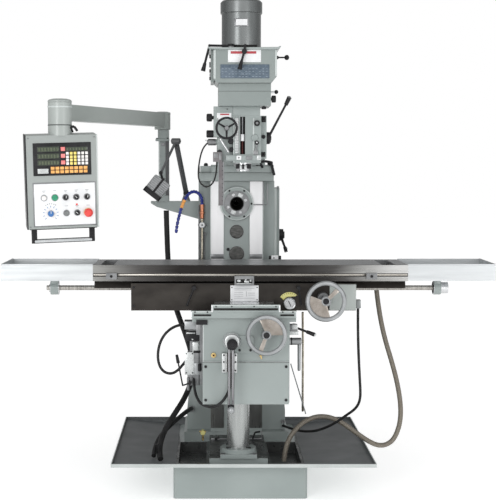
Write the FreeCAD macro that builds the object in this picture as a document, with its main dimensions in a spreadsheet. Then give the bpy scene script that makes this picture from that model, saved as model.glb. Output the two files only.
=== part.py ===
import FreeCAD, Part
import math
import os
import re
import Sketcher

# Combined vertical and horizontal knee milling machine.
# Frame: origin on the floor under the column's way face, +X right, +Y to the back, +Z up. Millimetres.

DIMS = [
    # base, chip pan and column
    ("base_centre", 8), ("base_width", 686), ("base_front", -560), ("base_back", 445), ("base_top", 165),
    ("plinth_top", 218), ("tongue_top", 200), ("anchor_radius", 11),
    ("anchor_spread", 636), ("anchor_front", -515), ("anchor_back", 400),
    ("pan_centre", 22), ("pan_width", 1336), ("pan_front", -665), ("pan_back", 462),
    ("pan_lip", 190), ("pan_rim", 206), ("pan_sheet", 3),
    ("column_half", 210), ("column_foot_half", 275), ("column_face", 70), ("column_back", 430),
    ("column_top", 1613), ("cap_top", 1660), ("way_outer", 141), ("way_inner", 72),
    # knee and its drive
    ("knee_centre", 33), ("knee_width", 430), ("knee_front", -676), ("knee_bottom", 513),
    ("cover_top", 723), ("knee_top", 960), ("screw_line", -440), ("lift_screw_radius", 22),
    ("dovetail_top", 1008), ("crank_line", -39), ("crank_height", 830),
    ("cross_line", 130), ("cross_height", 869), ("running_gap", 0.05),
    # saddle and table
    ("saddle_centre", 24), ("saddle_left", -550), ("saddle_right", 598), ("saddle_front", -500),
    ("saddle_back", -120), ("saddle_top", 1102),
    ("table_centre", 58), ("table_length", 1600), ("table_width", 360), ("table_line", -345),
    ("table_top", 1196), ("table_bottom", 1114), ("slot_width", 18), ("slot_undercut", 32),
    ("slot_pitch", 100), ("feed_screw_radius", 13), ("feed_screw_height", 1062),
    ("tray_left_end", -1207), ("tray_right_end", 1302), ("tray_bottom", 1115), ("tray_top", 1200),
    ("traverse_wheel_line", 426), ("traverse_wheel_height", 1030), ("wheel_radius", 102),
    # head
    ("head_line", 22), ("quill_line", -345), ("quill_radius", 45), ("tilt_height", 1850),
    ("quill_bottom", 1696), ("nose_bottom", 1670), ("nose_radius", 34.915),
    ("head_bottom", 1713), ("head_shoulder", 1952), ("gear_bottom", 2000), ("gear_top", 2114),
    ("belt_top", 2280), ("motor_line", 14), ("motor_radius", 101), ("motor_cap_radius", 107.5),
    ("motor_cap_bottom", 2475), ("motor_top", 2542),
    ("arbor_height", 1490), ("arbor_nose_radius", 64.285), ("arbor_pitch_radius", 50.8),
    ("bearing_cap_radius", 91.7),
    # pendant arm and lamp
    ("post_line", -411), ("post_depth", 120), ("post_side", 41), ("bracket_top", 1500),
    ("neck_radius", 56), ("box_width", 336), ("box_height", 443), ("box_front", -50), ("box_back", 55),
]

ALIASES = [name for name, value in DIMS]
ALIAS_PATTERN = re.compile(r"\b(" + "|".join(sorted(ALIASES, key=len, reverse=True)) + r")\b")
SIZE = dict(DIMS)

# The pendant hangs from its neck, turned to the right and leaning back at its foot.
NECK = (-855.0, -906.0, 1849.0)
PENDANT_TURN = 12.5
PENDANT_LEAN = 6.0
PENDANT_ROLL = -1.7

doc = FreeCAD.newDocument("knee_mill")
sheet = doc.addObject("Spreadsheet::Sheet", "dims")
for row, (alias, value) in enumerate(DIMS, start=1):
    sheet.set(f"A{row}", alias)
    sheet.set(f"B{row}", str(value))
    sheet.setAlias(f"B{row}", alias)
doc.recompute()

nodes = []


# ---------------------------------------------------------------- helpers

def bound(text):
    """The same expression with every alias read from the sheet."""
    return ALIAS_PATTERN.sub(r"dims.\1", str(text))


def number(text):
    """The value of an expression of aliases."""
    return float(worked_out(str(text)))


def worked_out(text):
    total = doc.addObject("App::FeaturePython", "probe")
    total.addProperty("App::PropertyFloat", "Value")
    total.setExpression("Value", bound(text))
    total.recompute()
    result = total.Value
    doc.removeObject(total.Name)
    return result


def shift(shape_object, x="0", y="0", z="0"):
    shape_object.setExpression(".Placement.Base.x", bound(x))
    shape_object.setExpression(".Placement.Base.y", bound(y))
    shape_object.setExpression(".Placement.Base.z", bound(z))
    return shape_object


def block(x0, x1, y0, y1, z0, z1):
    """A box between two corners."""
    made = doc.addObject("Part::Box", "block")
    made.setExpression("Length", bound(f"({x1}) - ({x0})"))
    made.setExpression("Width", bound(f"({y1}) - ({y0})"))
    made.setExpression("Height", bound(f"({z1}) - ({z0})"))
    return shift(made, x0, y0, z0)


TURNS = {
    "x": FreeCAD.Rotation(FreeCAD.Vector(0, 1, 0), 90),
    "y": FreeCAD.Rotation(FreeCAD.Vector(1, 0, 0), -90),
    "z": FreeCAD.Rotation(),
}


def centre_of(axis, start, across, up):
    """Corner placement of a round piece: start is along its axis, across and up are the other two."""
    if axis == "x":
        return start, across, up
    if axis == "y":
        return across, start, up
    return across, up, start


def rod(axis, radius, start, end, across, up):
    """A cylinder along one axis."""
    made = doc.addObject("Part::Cylinder", "rod")
    made.Placement = FreeCAD.Placement(FreeCAD.Vector(), TURNS[axis])
    made.setExpression("Radius", bound(radius))
    made.setExpression("Height", bound(f"({end}) - ({start})"))
    return shift(made, *centre_of(axis, start, across, up))


def taper(axis, radius_start, radius_end, start, end, across, up):
    """A cone along one axis."""
    made = doc.addObject("Part::Cone", "taper")
    made.Placement = FreeCAD.Placement(FreeCAD.Vector(), TURNS[axis])
    made.setExpression("Radius1", bound(radius_start))
    made.setExpression("Radius2", bound(radius_end))
    made.setExpression("Height", bound(f"({end}) - ({start})"))
    return shift(made, *centre_of(axis, start, across, up))


def ball(radius, x, y, z):
    made = doc.addObject("Part::Sphere", "ball")
    made.setExpression("Radius", bound(radius))
    return shift(made, x, y, z)


def ring(axis, radius, section, along, across, up):
    """A torus round one axis."""
    made = doc.addObject("Part::Torus", "ring")
    made.Placement = FreeCAD.Placement(FreeCAD.Vector(), TURNS[axis])
    made.setExpression("Radius1", bound(radius))
    made.setExpression("Radius2", bound(section))
    return shift(made, *centre_of(axis, along, across, up))


def stick(start, end, radius, end_radius=None):
    """A straight bar between two points, in any direction."""
    first = FreeCAD.Vector(*start)
    run = FreeCAD.Vector(*end) - first
    turn = FreeCAD.Rotation(FreeCAD.Vector(0, 0, 1), run)
    if end_radius is None:
        made = doc.addObject("Part::Cylinder", "stick")
        made.Radius = radius
    else:
        made = doc.addObject("Part::Cone", "stick")
        made.Radius1 = radius
        made.Radius2 = end_radius
    made.Height = run.Length
    made.Placement = FreeCAD.Placement(first, turn)
    return made


def outline_sketch(body, plane, points):
    """A closed, fully constrained outline of straight runs on one of the body's own planes."""
    sketch = body.newObject("Sketcher::SketchObject", "outline")
    planes = {feature.Role: feature for feature in body.Origin.OriginFeatures}
    sketch.AttachmentSupport = (planes[plane], [""])
    sketch.MapMode = "FlatFace"
    values = [(number(across), number(up)) for across, up in points]
    count = len(points)
    for index, start in enumerate(values):
        end = values[(index + 1) % count]
        line = Part.LineSegment(FreeCAD.Vector(*start, 0), FreeCAD.Vector(*end, 0))
        sketch.addGeometry(line, False)
    for index in range(count):
        sketch.addConstraint(Sketcher.Constraint("Coincident", index, 2, (index + 1) % count, 1))
    for index, (across, up) in enumerate(points):
        for kind, text, value in (("DistanceX", across, values[index][0]), ("DistanceY", up, values[index][1])):
            place = sketch.addConstraint(Sketcher.Constraint(kind, -1, 1, index, 1, value))
            sketch.setExpression(f"Constraints[{place}]", bound(text))
    return sketch


def extrusion(plane, points, start, end):
    """An outline extruded from start to end along the axis across its plane."""
    body = doc.addObject("PartDesign::Body", "extrusion")
    sketch = outline_sketch(body, plane, points)
    pad = body.newObject("PartDesign::Pad", "pad")
    pad.Profile = sketch
    pad.setExpression("Length", bound(f"({end}) - ({start})"))
    body.Tip = pad
    if plane == "XZ_Plane":
        return shift(body, y=end)
    if plane == "YZ_Plane":
        return shift(body, x=start)
    return shift(body, z=start)


def turned(axis, points, across, up):
    """A turned piece: points are (radius, place along the axis)."""
    body = doc.addObject("PartDesign::Body", "turned")
    sketch = outline_sketch(body, "XZ_Plane", points)
    revolution = body.newObject("PartDesign::Revolution", "revolution")
    revolution.Profile = sketch
    revolution.ReferenceAxis = (sketch, ["V_Axis"])
    revolution.Angle = 360
    body.Tip = revolution
    body.Placement = FreeCAD.Placement(FreeCAD.Vector(), TURNS[axis])
    return shift(body, *centre_of(axis, "0", across, up))


def fused(*pieces):
    made = doc.addObject("Part::MultiFuse", "fused")
    made.Shapes = list(pieces)
    return made


def less(base, *tools):
    """The base with every tool cut away."""
    made = doc.addObject("Part::Cut", "cut")
    made.Base = base
    made.Tool = tools[0] if len(tools) == 1 else fused(*tools)
    return made


def group(*pieces):
    """Separate solids in one node."""
    made = doc.addObject("Part::Compound", "group")
    made.Links = list(pieces)
    return made


def rounded(base, radius, chosen):
    """The base with a radius on each edge that chosen(edge) accepts."""
    doc.recompute()
    made = doc.addObject("Part::Fillet", "rounded")
    made.Base = base
    edges = [(index, radius, radius) for index, edge in enumerate(base.Shape.Edges, start=1) if chosen(edge)]
    made.Edges = edges
    return made


def upright(edge):
    """A straight edge that runs along Z."""
    first, last = edge.Vertexes[0].Point, edge.Vertexes[-1].Point
    return abs(first.x - last.x) < 0.01 and abs(first.y - last.y) < 0.01


def posed(base, placement):
    """A whole piece built in its own frame and set in its place."""
    made = group(base)
    made.Placement = placement
    return made


def publish(piece, label):
    piece.Label = label
    nodes.append(piece)
    return piece


def cord(points, radius, label=None):
    """A cord: straight runs joined by tangent arcs, each as large as its two runs allow."""
    spots = [FreeCAD.Vector(*point) for point in points]
    edges = []
    radii = []
    here = spots[0]
    for before, corner, after in zip(spots, spots[1:], spots[2:]):
        into = (corner - before).normalize()
        out = (after - corner).normalize()
        half_turn = into.getAngle(out) / 2
        shorter = min((corner - before).Length, (after - corner).Length)
        reach = 0.45 * shorter
        radii.append(reach / math.tan(half_turn))
        first = corner - into * reach
        last = corner + out * reach
        chord_middle = (first + last) * 0.5
        sag = radii[-1] * (1 - math.cos(half_turn))
        toward = (corner - chord_middle).normalize()
        middle = chord_middle + toward * sag
        edges.append(Part.LineSegment(here, first).toShape())
        edges.append(Part.Arc(first, middle, last).toShape())
        here = last
    edges.append(Part.LineSegment(here, spots[-1]).toShape())
    path = Part.Wire(edges)
    start_way = (spots[1] - spots[0]).normalize()
    section = Part.Wire([Part.Circle(spots[0], start_way, radius).toShape()])
    tube = path.makePipeShell([section], True, False)
    expected = math.pi * radius ** 2 * path.Length
    print(f"{label}: smallest bend {min(radii):.0f} mm, {min(radii) / (2 * radius):.1f} diameters,"
          f" length {path.Length:.0f} mm, volume ratio {tube.Volume / expected:.4f}")
    made = doc.addObject("Part::Feature", "cord")
    made.Shape = tube
    return made


# ---------------------------------------------------------------- fixed machine

def base_casting():
    left, right = "base_centre - base_width/2", "base_centre + base_width/2"
    foot = rounded(block(left, right, "base_front", "base_back", 0, "base_top"), 18, upright)
    plinth = block(-290, 290, 10, "column_back", "base_top - 1", "plinth_top")
    tongue = block(-150, 150, -520, 10, "base_top - 1", "tongue_top")
    wells = [block(-310, -165, -480, -10, 105, "base_top + 1"),
             block(165, 325, -480, -10, 105, "base_top + 1")]
    anchors = [rod("z", "anchor_radius", -1, "base_top + 60", f"base_centre + {side}*anchor_spread/2", row)
               for side in (-1, 1) for row in ("anchor_front", "anchor_back")]
    screw_well = rod("z", 34, 20, "tongue_top + 1", 0, "screw_line")
    underside = block(-270, 280, 30, 395, -1, 140)
    return publish(less(fused(foot, plinth, tongue), *wells, *anchors, screw_well, underside), "base_casting")


def column_casting():
    shell = extrusion("XZ_Plane", [
        ("-column_foot_half", "plinth_top"), ("column_foot_half", "plinth_top"),
        ("column_foot_half", "plinth_top + 112"), ("column_half", 900), ("column_half", "column_top"),
        ("-column_half", "column_top"), ("-column_half", 900), ("-column_foot_half", "plinth_top + 112"),
    ], "column_face", "column_back")
    front = block("-way_outer", "way_outer", 6, "column_face + 5", "plinth_top", "column_top")
    ways = [block(a, b, 0, 7, 250, "column_top")
            for a, b in (("-way_outer", "-way_inner"), ("way_inner", "way_outer"))]
    cap = block(-208, 201, -40, "column_back + 6", "column_top - 1", "cap_top")
    boss = rod("y", "bearing_cap_radius", 0, 7, 0, "arbor_height")
    hollow = block(-175, 175, 105, "column_back + 10", 330, 1560)
    web = block(-176, 176, 300, 330, 1400, 1561)
    bores = [
        rod("y", 66, -1, 106, 0, "arbor_height"),
        rod("y", "42 + running_gap", 299, 331, 0, "arbor_height"),
        rod("z", "60 + running_gap", 1570, "cap_top + 1", "head_line", 240),
        rod("y", 38, -1, 18, 0, 1335), rod("y", 42, -1, 18, 0, 1213), rod("y", 5.5, -1, 18, -47, 1238),
    ]
    body = less(fused(shell, front, cap, boss, *ways), hollow)
    return publish(less(fused(body, web), *bores), "column_casting")


def pan_hopper(label, lift):
    """A flared tray from the base's outline up to the pan's rim, lifted by the sheet's thickness."""
    wedge = doc.addObject("Part::Wedge", label)
    wedge.Placement = FreeCAD.Placement(FreeCAD.Vector(), FreeCAD.Rotation(FreeCAD.Vector(1, 0, 0), 90))
    for side, text in (
        ("Xmin", "base_centre - base_width/2"), ("Xmax", "base_centre + base_width/2"),
        ("Zmin", "-base_back"), ("Zmax", "-base_front"),
        ("X2min", "pan_centre - pan_width/2"), ("X2max", "pan_centre + pan_width/2"),
        ("Z2min", "-pan_back"), ("Z2max", "-pan_front"),
        ("Ymin", f"base_top + {lift}"), ("Ymax", f"pan_lip + {lift}"),
    ):
        wedge.setExpression(side, bound(text))
    return wedge


def chip_pan():
    left, right = "pan_centre - pan_width/2", "pan_centre + pan_width/2"
    outer = block(left, right, "pan_front", "pan_back", "pan_lip - 2", "pan_rim")
    inner = block(f"{left} + 5", f"{right} - 5", "pan_front + 5", "pan_back - 5", "pan_lip - 3", "pan_rim + 1")
    tray = less(pan_hopper("outer_tray", "0"), pan_hopper("inner_tray", "pan_sheet"))
    opening = block(-322, 340, -548, 434, 150, 172)
    return publish(less(fused(less(outer, inner), tray), opening), "chip_pan")


def column_side_cover():
    cover = block(210, 245, 180, 425, 905, 1571)
    bore = rod("x", 10.05, 221, 246, 260, 1302)
    return publish(less(cover, bore), "column_side_cover")


def spindle_flange():
    cap = turned("y", [(66, -20), ("bearing_cap_radius - 3", -20), ("bearing_cap_radius", -17),
                       ("bearing_cap_radius", 0), (66, 0)], 0, "arbor_height")
    screws = []
    for turn in range(6):
        angle = math.radians(60 * turn)
        screws.append(rod("y", 6, -21, 1, 81.3 * math.cos(angle), f"arbor_height + {81.3 * math.sin(angle)}"))
    return publish(less(cap, *screws), "spindle_flange")


def bore_plugs():
    plugs = [rod("y", 38, 3, 18, 0, 1335), rod("y", 42, 3, 18, 0, 1213), rod("y", 5.5, 3, 18, -47, 1238)]
    return publish(group(*plugs), "bore_plugs")


def screw_pedestal():
    plate = block(-94, 94, "screw_line - 94", "screw_line + 94", "tongue_top", 222)
    flange = rod("z", 88, 221, 243, 0, "screw_line")
    tube = rod("z", 57.5, 242, 640, 0, "screw_line")
    hollow = rod("z", 32, 199, 590, 0, "screw_line")
    thread = rod("z", "lift_screw_radius + running_gap", 580, 641, 0, "screw_line")
    return publish(less(fused(plate, flange, tube), hollow, thread), "screw_pedestal")


def rear_motor():
    door = block(-190, 190, "column_back", "column_back + 12", 310, 1590)
    guard = rounded(block(-95, 95, "column_back + 12", "column_back + 95", 620, 1560), 20, lambda edge: True)
    motor = rod("y", 92, "column_back + 90", "column_back + 330", 0, 720)
    cowl = rod("y", 97, "column_back + 270", "column_back + 335", 0, 720)
    return publish(fused(door, guard, motor, cowl), "rear_motor")


def pendant_post():
    half = "post_side/2"
    gusset = extrusion("XZ_Plane", [
        (-476, "bracket_top"), ("-column_half", "bracket_top"), ("-column_half", 1400), (-443, 1468),
        (-476, 1488)], "post_depth - 20", "post_depth + 20")
    post = block(f"post_line - {half}", "post_line + 37", f"post_depth - {half}", f"post_depth + {half}",
                 "bracket_top - 1", 1896)
    collar = block("post_line - 25", "post_line + 25", "post_depth - 25", "post_depth + 25", 1833, 1896)
    foot = block("post_line - 33", "post_line + 33", "post_depth - 28", "post_depth + 28",
                 "bracket_top - 1", 1530)
    pivot = rod("z", 14, 1890, 1965, "post_line", "post_depth")
    stand = taper("z", 26, 13, "bracket_top - 1", 1534, -281, "post_depth")
    return publish(fused(gusset, post, collar, foot, pivot, stand), "pendant_post")


def coolant_line():
    pipe = rod("z", 5.5, 700, 1404, -190, 52)
    coupling = rod("z", 11, 1404, 1484, -190, 52)
    hose = cord(COOLANT_HOSE, 9, "coolant hose")
    return publish(group(pipe, coupling, hose), "coolant_line")


def horizontal_spindle():
    nose, height = "arbor_nose_radius", "arbor_height"
    shaft = turned("y", [(13.5, -32), (nose, -32), (nose, 28), (60, 28), (60, 180), (66, 180), (66, 222),
                         (60, 222), (60, 295), (42, 295), (42, 400), (13.5, 400)], 0, height)
    socket = taper("y", 34.925, 19.32, -32, 75, 0, height)
    relief = rod("y", 19.3, 74, 130, 0, height)
    threads = []
    keys = []
    for turn in range(4):
        angle = math.radians(22 + 90 * turn)
        threads.append(rod("y", 8, -33, 0, f"arbor_pitch_radius*{math.cos(angle)}",
                           f"arbor_height + arbor_pitch_radius*{math.sin(angle)}"))
    for side in (-1, 1):
        key = doc.addObject("Part::Box", "key")
        key.Length, key.Width, key.Height = 20, 9, 25.4
        turn = FreeCAD.Rotation(FreeCAD.Vector(0, 1, 0), -67 if side > 0 else 113)
        offset = turn.multVec(FreeCAD.Vector(40, -8, -12.7))
        key.Placement = FreeCAD.Placement(offset + FreeCAD.Vector(0, -32, SIZE["arbor_height"]), turn)
        keys.append(key)
    return publish(fused(less(shaft, socket, relief, *threads), *keys), "horizontal_spindle")


def spindle_speed_lever():
    hub = rod("x", 34, 245.5, 272, 260, 1302)
    stem = rod("x", 10, 225, 246, 260, 1302)
    arm = stick((264, 260, 1280), (284, 238, 1222), 8, 6)
    grip = stick((280, 242, 1234), (288, 233, 1206), 10)
    return publish(fused(hub, stem, arm, grip), "spindle_speed_lever")


# ---------------------------------------------------------------- knee

def knee_casting():
    left, right = "knee_centre - knee_width/2", "knee_centre + knee_width/2"
    box = block(left, right, "knee_front", -1.5, "knee_bottom + 7", 926)
    deck = block("saddle_centre - 260", "saddle_centre + 256", "knee_front", -20, 925, "knee_top")
    dovetail = extrusion("XZ_Plane", [
        ("saddle_centre - 125", "knee_top - 1"), ("saddle_centre + 125", "knee_top - 1"),
        ("saddle_centre + 150", "dovetail_top"), ("saddle_centre - 150", "dovetail_top")],
        "knee_front + 6", -30)
    jaws = [block(left, -142.5, -2, 58, 560, 926), block(142.5, right, -2, 58, 560, 926)]
    hollow = block(f"{left} + 25", f"{right} - 25", "knee_front + 26", -30, "knee_bottom", 890)
    window = block(f"{left} + 32", f"{right} - 32", "knee_front - 1", "knee_front + 27", 540, 700)
    slot = block("cross_line - 30", "cross_line + 30", -500, -180, 880, "dovetail_top + 1")
    bores = [
        rod("y", 15.05, "knee_front - 1", "knee_front + 27", "crank_line", "crank_height"),
        rod("y", 12.05, "knee_front - 1", "knee_front + 27", "cross_line", "cross_height"),
        rod("z", 15.05, 880, 945, 0, "screw_line"),
    ]
    return publish(less(fused(box, deck, dovetail, *jaws), hollow, window, slot, *bores), "knee_casting")


def knee_cover():
    plate = block("knee_centre - knee_width/2 - 2", "knee_centre + knee_width/2 - 3", "knee_front - 6",
                  "knee_front", "knee_bottom", "cover_top")
    holes = [rod("y", 5, "knee_front - 7", "knee_front + 1", f"knee_centre - 2 + {side}*200", height)
             for side in (-1, 1) for height in (535, 703)]
    return publish(less(plate, *holes), "knee_cover")


def way_wipers():
    low = less(block(-240, 280, "knee_front - 24", "knee_front", 947, 983),
               block(-237, 277, "knee_front - 21", "knee_front + 1", 946, 980))
    high = less(block(-138, 197, "knee_front - 26", "knee_front", 975, 1014),
                block(-135, 194, "knee_front - 23", "knee_front + 1", 974, 1011))
    return publish(fused(low, high), "way_wipers")


def knee_fittings():
    face = "knee_front"
    guard = less(block(-88, -14, f"{face} - 26", face, 677, 772),
                 block(-64, -34, f"{face} - 27", f"{face} - 8", 676, 773),
                 block(-89, -13, f"{face} - 6", f"{face} + 1", 676, "cover_top + 0.5"))
    crank_ring = turned("y", [(17, -700), (34, -700), (43, -690), (43, -676), (17, -676)],
                        "crank_line", "crank_height")
    screw_cap = rod("y", 33, f"{face} - 8", face, 38, 820)
    sight = turned("y", [(0, -684), (10, -684), (12, -681), (12, -676), (0, -676)], -130, 760)
    cross_boss = turned("y", [(13, -706), (24, -706), (30, -690), (30, -676), (13, -676)],
                        "cross_line", "cross_height")
    shelf = block("knee_centre + knee_width/2", 300, -548, -492, 842, 860)
    clamp_drum = rod("x", 17.5, "knee_centre + knee_width/2", 318, -500, 803)
    clamp_bar = rod("z", 6.5, 650, 790, 309, -500)
    return publish(group(guard, crank_ring, screw_cap, sight, cross_boss, shelf,
                         fused(clamp_drum, clamp_bar)), "knee_fittings")


def lubricator():
    plate = block(-200, "knee_centre - knee_width/2", -560, -480, 590, 900)
    head = rounded(block(-277, -200, -556, -484, 871, 913), 4, upright)
    gearbox = block(-270, -200, -552, -488, 812, 862)
    link = block(-255, -215, -540, -500, 861, 872)
    tank = rounded(block(-262, -200, -556, -484, 585, 752), 6, upright)
    neck = block(-250, -215, -540, -500, 751, 813)
    return publish(fused(plate, head, gearbox, link, tank, neck), "lubricator")


def lube_lever():
    hub = rod("y", 9, -580, -557, -250, 600)
    low = stick((-250, -572, 600), (-286, -572, 588), 4)
    bend = ball(4, -286, -572, 588)
    arm = stick((-286, -572, 588), (-309, -572, 708), 4)
    grip = stick((-308, -572, 703), (-316, -572, 745), 9, 7)
    return publish(fused(hub, low, bend, arm, grip), "lube_lever")


def knee_lock_lever():
    hub = rod("z", 15, 860.5, 892, 280, -520)
    arm = stick((280, -520, 880), (372, -520, 845), 6)
    grip = stick((345, -520, 855), (384, -520, 840), 9, 11)
    return publish(fused(hub, arm, grip), "knee_lock_lever")


def knee_crank():
    line, height = "crank_line", "crank_height"
    shaft = rod("y", 15, -790, -540, line, height)
    pinion = taper("y", 26, 18, -556, -530, line, height)
    boss = rod("y", 24, -797, -750, line, height)
    cap = turned("y", [(0, -807), (17, -807), (27, -797), (27, -783), (0, -783)], line, height)
    low, high = 504, 819
    bars = [block(f"crank_line + {a}", f"crank_line + {b}", -787, -771, low, high) for a, b in ((-22, -8), (-4, 10))]
    foot = block("crank_line - 22", "crank_line + 10", -789, -769, low, 532)
    handle = rod("y", 8, -845, -779, "crank_line - 6", 518)
    knob = ball(17, "crank_line - 6", -845, 518)
    return publish(fused(shaft, pinion, boss, cap, foot, handle, knob, *bars), "knee_crank")


def elevating_screw():
    screw = rod("z", "lift_screw_radius", 300, 885, 0, "screw_line")
    journal = rod("z", 15, 884, 940, 0, "screw_line")
    gear = taper("z", 68, 46, 856, 882, 0, "screw_line")
    return publish(fused(screw, journal, gear), "elevating_screw")


def handwheel(line, height, rim_place, shaft_end, fan, spoke_turn, label):
    """A dished wheel: heavy rim, one broad fan web, a narrow spoke across from it, hub and shaft along Y."""
    rim = turned("y", [
        ("wheel_radius - 20", f"{rim_place} - 4"), ("wheel_radius - 14", f"{rim_place} - 13"),
        ("wheel_radius - 4", f"{rim_place} - 11"), ("wheel_radius", f"{rim_place}"),
        ("wheel_radius - 4", f"{rim_place} + 11"), ("wheel_radius - 14", f"{rim_place} + 13"),
        ("wheel_radius - 20", f"{rim_place} + 4")], line, height)
    hub = turned("y", [(0, f"{rim_place} - 6"), (18, f"{rim_place} - 6"), (26, f"{rim_place} + 2"),
                       (26, f"{rim_place} + 34"), (0, f"{rim_place} + 34")], line, height)
    shaft = rod("y", 12, f"{rim_place} + 30", shaft_end, line, height)
    first, last = fan
    turns = [math.radians(first + (last - first) * step / 8) for step in range(9)]
    web = extrusion("XZ_Plane", [(f"{line} + 20*{math.cos(a):.5f}", f"{height} + 20*{math.sin(a):.5f}")
                                 for a in (turns[0], turns[4], turns[-1])]
                    + [(f"{line} + (wheel_radius - 15)*{math.cos(a):.5f}",
                        f"{height} + (wheel_radius - 15)*{math.sin(a):.5f}") for a in reversed(turns)],
                    f"{rim_place} - 3", f"{rim_place} + 5")
    spoke = doc.addObject("Part::Box", "spoke")
    spoke.Length, spoke.Width, spoke.Height = 70, 8, 26
    rotation = FreeCAD.Rotation(FreeCAD.Vector(0, 1, 0), -spoke_turn)
    spoke.Placement = FreeCAD.Placement(rotation.multVec(FreeCAD.Vector(18, 0, -13)), rotation)
    return publish(fused(rim, hub, shaft, web, posed_at(spoke, line, f"{rim_place} - 3", height)), label)


def posed_at(piece, x, y, z):
    made = group(piece)
    return shift(made, x, y, z)


# ---------------------------------------------------------------- saddle and table

def saddle_casting():
    main = block("saddle_left", "saddle_right", "saddle_front", "saddle_back", "knee_top + 1", "saddle_top")
    centre = "saddle_centre"
    knee_channel = extrusion("XZ_Plane", [
        (f"{centre} - 125.9", "knee_top"), (f"{centre} + 125.9", "knee_top"),
        (f"{centre} + 150.9", "dovetail_top + 1"), (f"{centre} - 150.9", "dovetail_top + 1")],
        "saddle_front - 1", "saddle_back + 1")
    table_channel = extrusion("YZ_Plane", [
        ("table_line - 106", 1069), ("table_line + 106", 1069),
        ("table_line + 94", "saddle_top + 1"), ("table_line - 94", "saddle_top + 1")],
        "saddle_left - 1", "saddle_right + 1")
    tunnel = rod("x", 30, "saddle_left - 1", "saddle_right + 1", "table_line", "feed_screw_height")
    shaft_boss = rod("y", 27, "saddle_front - 62", "saddle_front + 1", "traverse_wheel_line",
                     "traverse_wheel_height")
    shaft_bore = rod("y", 12.05, "saddle_front - 63", -378, "traverse_wheel_line", "traverse_wheel_height")
    nut = block("cross_line - 18", "cross_line + 18", -330, -290, 850, "dovetail_top + 2")
    nut_bore = rod("y", 12.05, -331, -289, "cross_line", "cross_height")
    body = less(fused(main, shaft_boss), knee_channel, table_channel, tunnel, shaft_bore)
    return publish(less(fused(body, nut), nut_bore), "saddle_casting")


def saddle_fittings():
    face = "saddle_front"
    plate = block(-43, 100, f"{face} - 3", face, 1009, 1090)
    dial = turned("y", [(0, -516), (25, -516), (26, -520), (29.5, -520), (29.5, -500), (0, -500)], 258, 999)
    scale = block(225, 281, f"{face} - 3", face, 1032, 1056)
    stop = less(block(-23, 75, -547, -527, 1095, 1141), block(-15, 67, -548, -533, 1100, 1126))
    foot = block(-23, 75, -528, face, 1095, 1101)
    plug = block("saddle_right", 623, -483, -457, 970, 1014)
    return publish(group(plate, dial, scale, plug, fused(stop, foot)), "saddle_fittings")


def table_lock(top, foot, label):
    """A clamp lever on the saddle's front, from its hub at the top to its tip."""
    hub = rod("y", 10, -537, "saddle_front - 0.5", top[0], top[1])
    arm = stick((top[0], -530, top[1]), (foot[0], -533, foot[1]), 5)
    tip = ball(6.5, foot[0], -533, foot[1])
    return publish(fused(hub, arm, tip), label)


def machine_table():
    slab_half = "table_width/2"
    points = [(f"table_line - {slab_half}", "table_bottom"), ("table_line - 89", "table_bottom"),
              ("table_line - 105", 1070), ("table_line + 105", 1070), ("table_line + 89", "table_bottom"),
              (f"table_line + {slab_half}", "table_bottom"), (f"table_line + {slab_half}", "table_top")]
    for step in (1, 0, -1):
        middle = f"table_line + {step}*slot_pitch"
        points += [(f"{middle} + slot_width/2", "table_top"), (f"{middle} + slot_width/2", "table_top - 20"),
                   (f"{middle} + slot_undercut/2", "table_top - 20"),
                   (f"{middle} + slot_undercut/2", "table_top - 34"),
                   (f"{middle} - slot_undercut/2", "table_top - 34"),
                   (f"{middle} - slot_undercut/2", "table_top - 20"),
                   (f"{middle} - slot_width/2", "table_top - 20"), (f"{middle} - slot_width/2", "table_top")]
    points += [(f"table_line - {slab_half}", "table_top"), (f"table_line - {slab_half}", 1154),
               (f"table_line - {slab_half} + 10", 1154), (f"table_line - {slab_half} + 10", 1137),
               (f"table_line - {slab_half}", 1137)]
    slab = extrusion("YZ_Plane", points, "table_centre - table_length/2", "table_centre + table_length/2")
    troughs = [block(a, b, -505, -185, 1156, "table_top + 1") for a, b in ((-704, -636), (727, 797))]
    screw_groove = rod("x", 24, "table_centre - table_length/2 - 1", "table_centre + table_length/2 + 1",
                       "table_line", "feed_screw_height")
    return publish(less(slab, screw_groove, *troughs), "machine_table")


def tray(left, right, wall_side):
    front, back = "table_line - table_width/2", "table_line + table_width/2"
    outer = block(left, right, front, back, "tray_bottom", "tray_top")
    inner_left = f"{left} + 3" if wall_side < 0 else f"{left} - 1"
    inner_right = f"{right} + 1" if wall_side < 0 else f"{right} - 3"
    inner = block(inner_left, inner_right, f"{front} + 3", f"{back} - 3", "tray_bottom + 3", "tray_top + 1")
    return less(outer, inner)


def end_trays():
    left = tray("tray_left_end", "table_centre - table_length/2", -1)
    right = tray("table_centre + table_length/2", "tray_right_end", 1)
    return publish(group(left, right), "end_trays")


def table_leadscrew():
    line, height = "table_line", "feed_screw_height"
    screw = rod("x", "feed_screw_radius", -1000, 1094, line, height)
    caps = [rod("x", 35, -980, -935, line, height), rod("x", 35, 1018, 1058, line, height),
            rod("x", 30, 1058, 1094, line, height)]
    hangers = [block(a, b, "table_line - 22", "table_line + 22", 1085, "tray_bottom")
               for a, b in ((-974, -941), (1022, 1054))]
    return publish(fused(screw, *caps, *hangers), "table_leadscrew")


def stop_dogs():
    face = "table_line - table_width/2"
    dogs = []
    for left in (-674, 644):
        body = block(left, left + 55, f"{face} - 18", face, 1125, 1156)
        tenon = block(left + 5, left + 50, face, f"{face} + 8", 1138, 1153)
        dogs.append(fused(body, tenon))
    return publish(group(*dogs), "stop_dogs")


def drive_nut():
    nut = rod("x", 22, 396, 456, "table_line", "feed_screw_height")
    thread = rod("x", "feed_screw_radius + running_gap", 395, 457, "table_line", "feed_screw_height")
    return publish(less(nut, thread), "drive_nut")


# ---------------------------------------------------------------- ram and head

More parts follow.
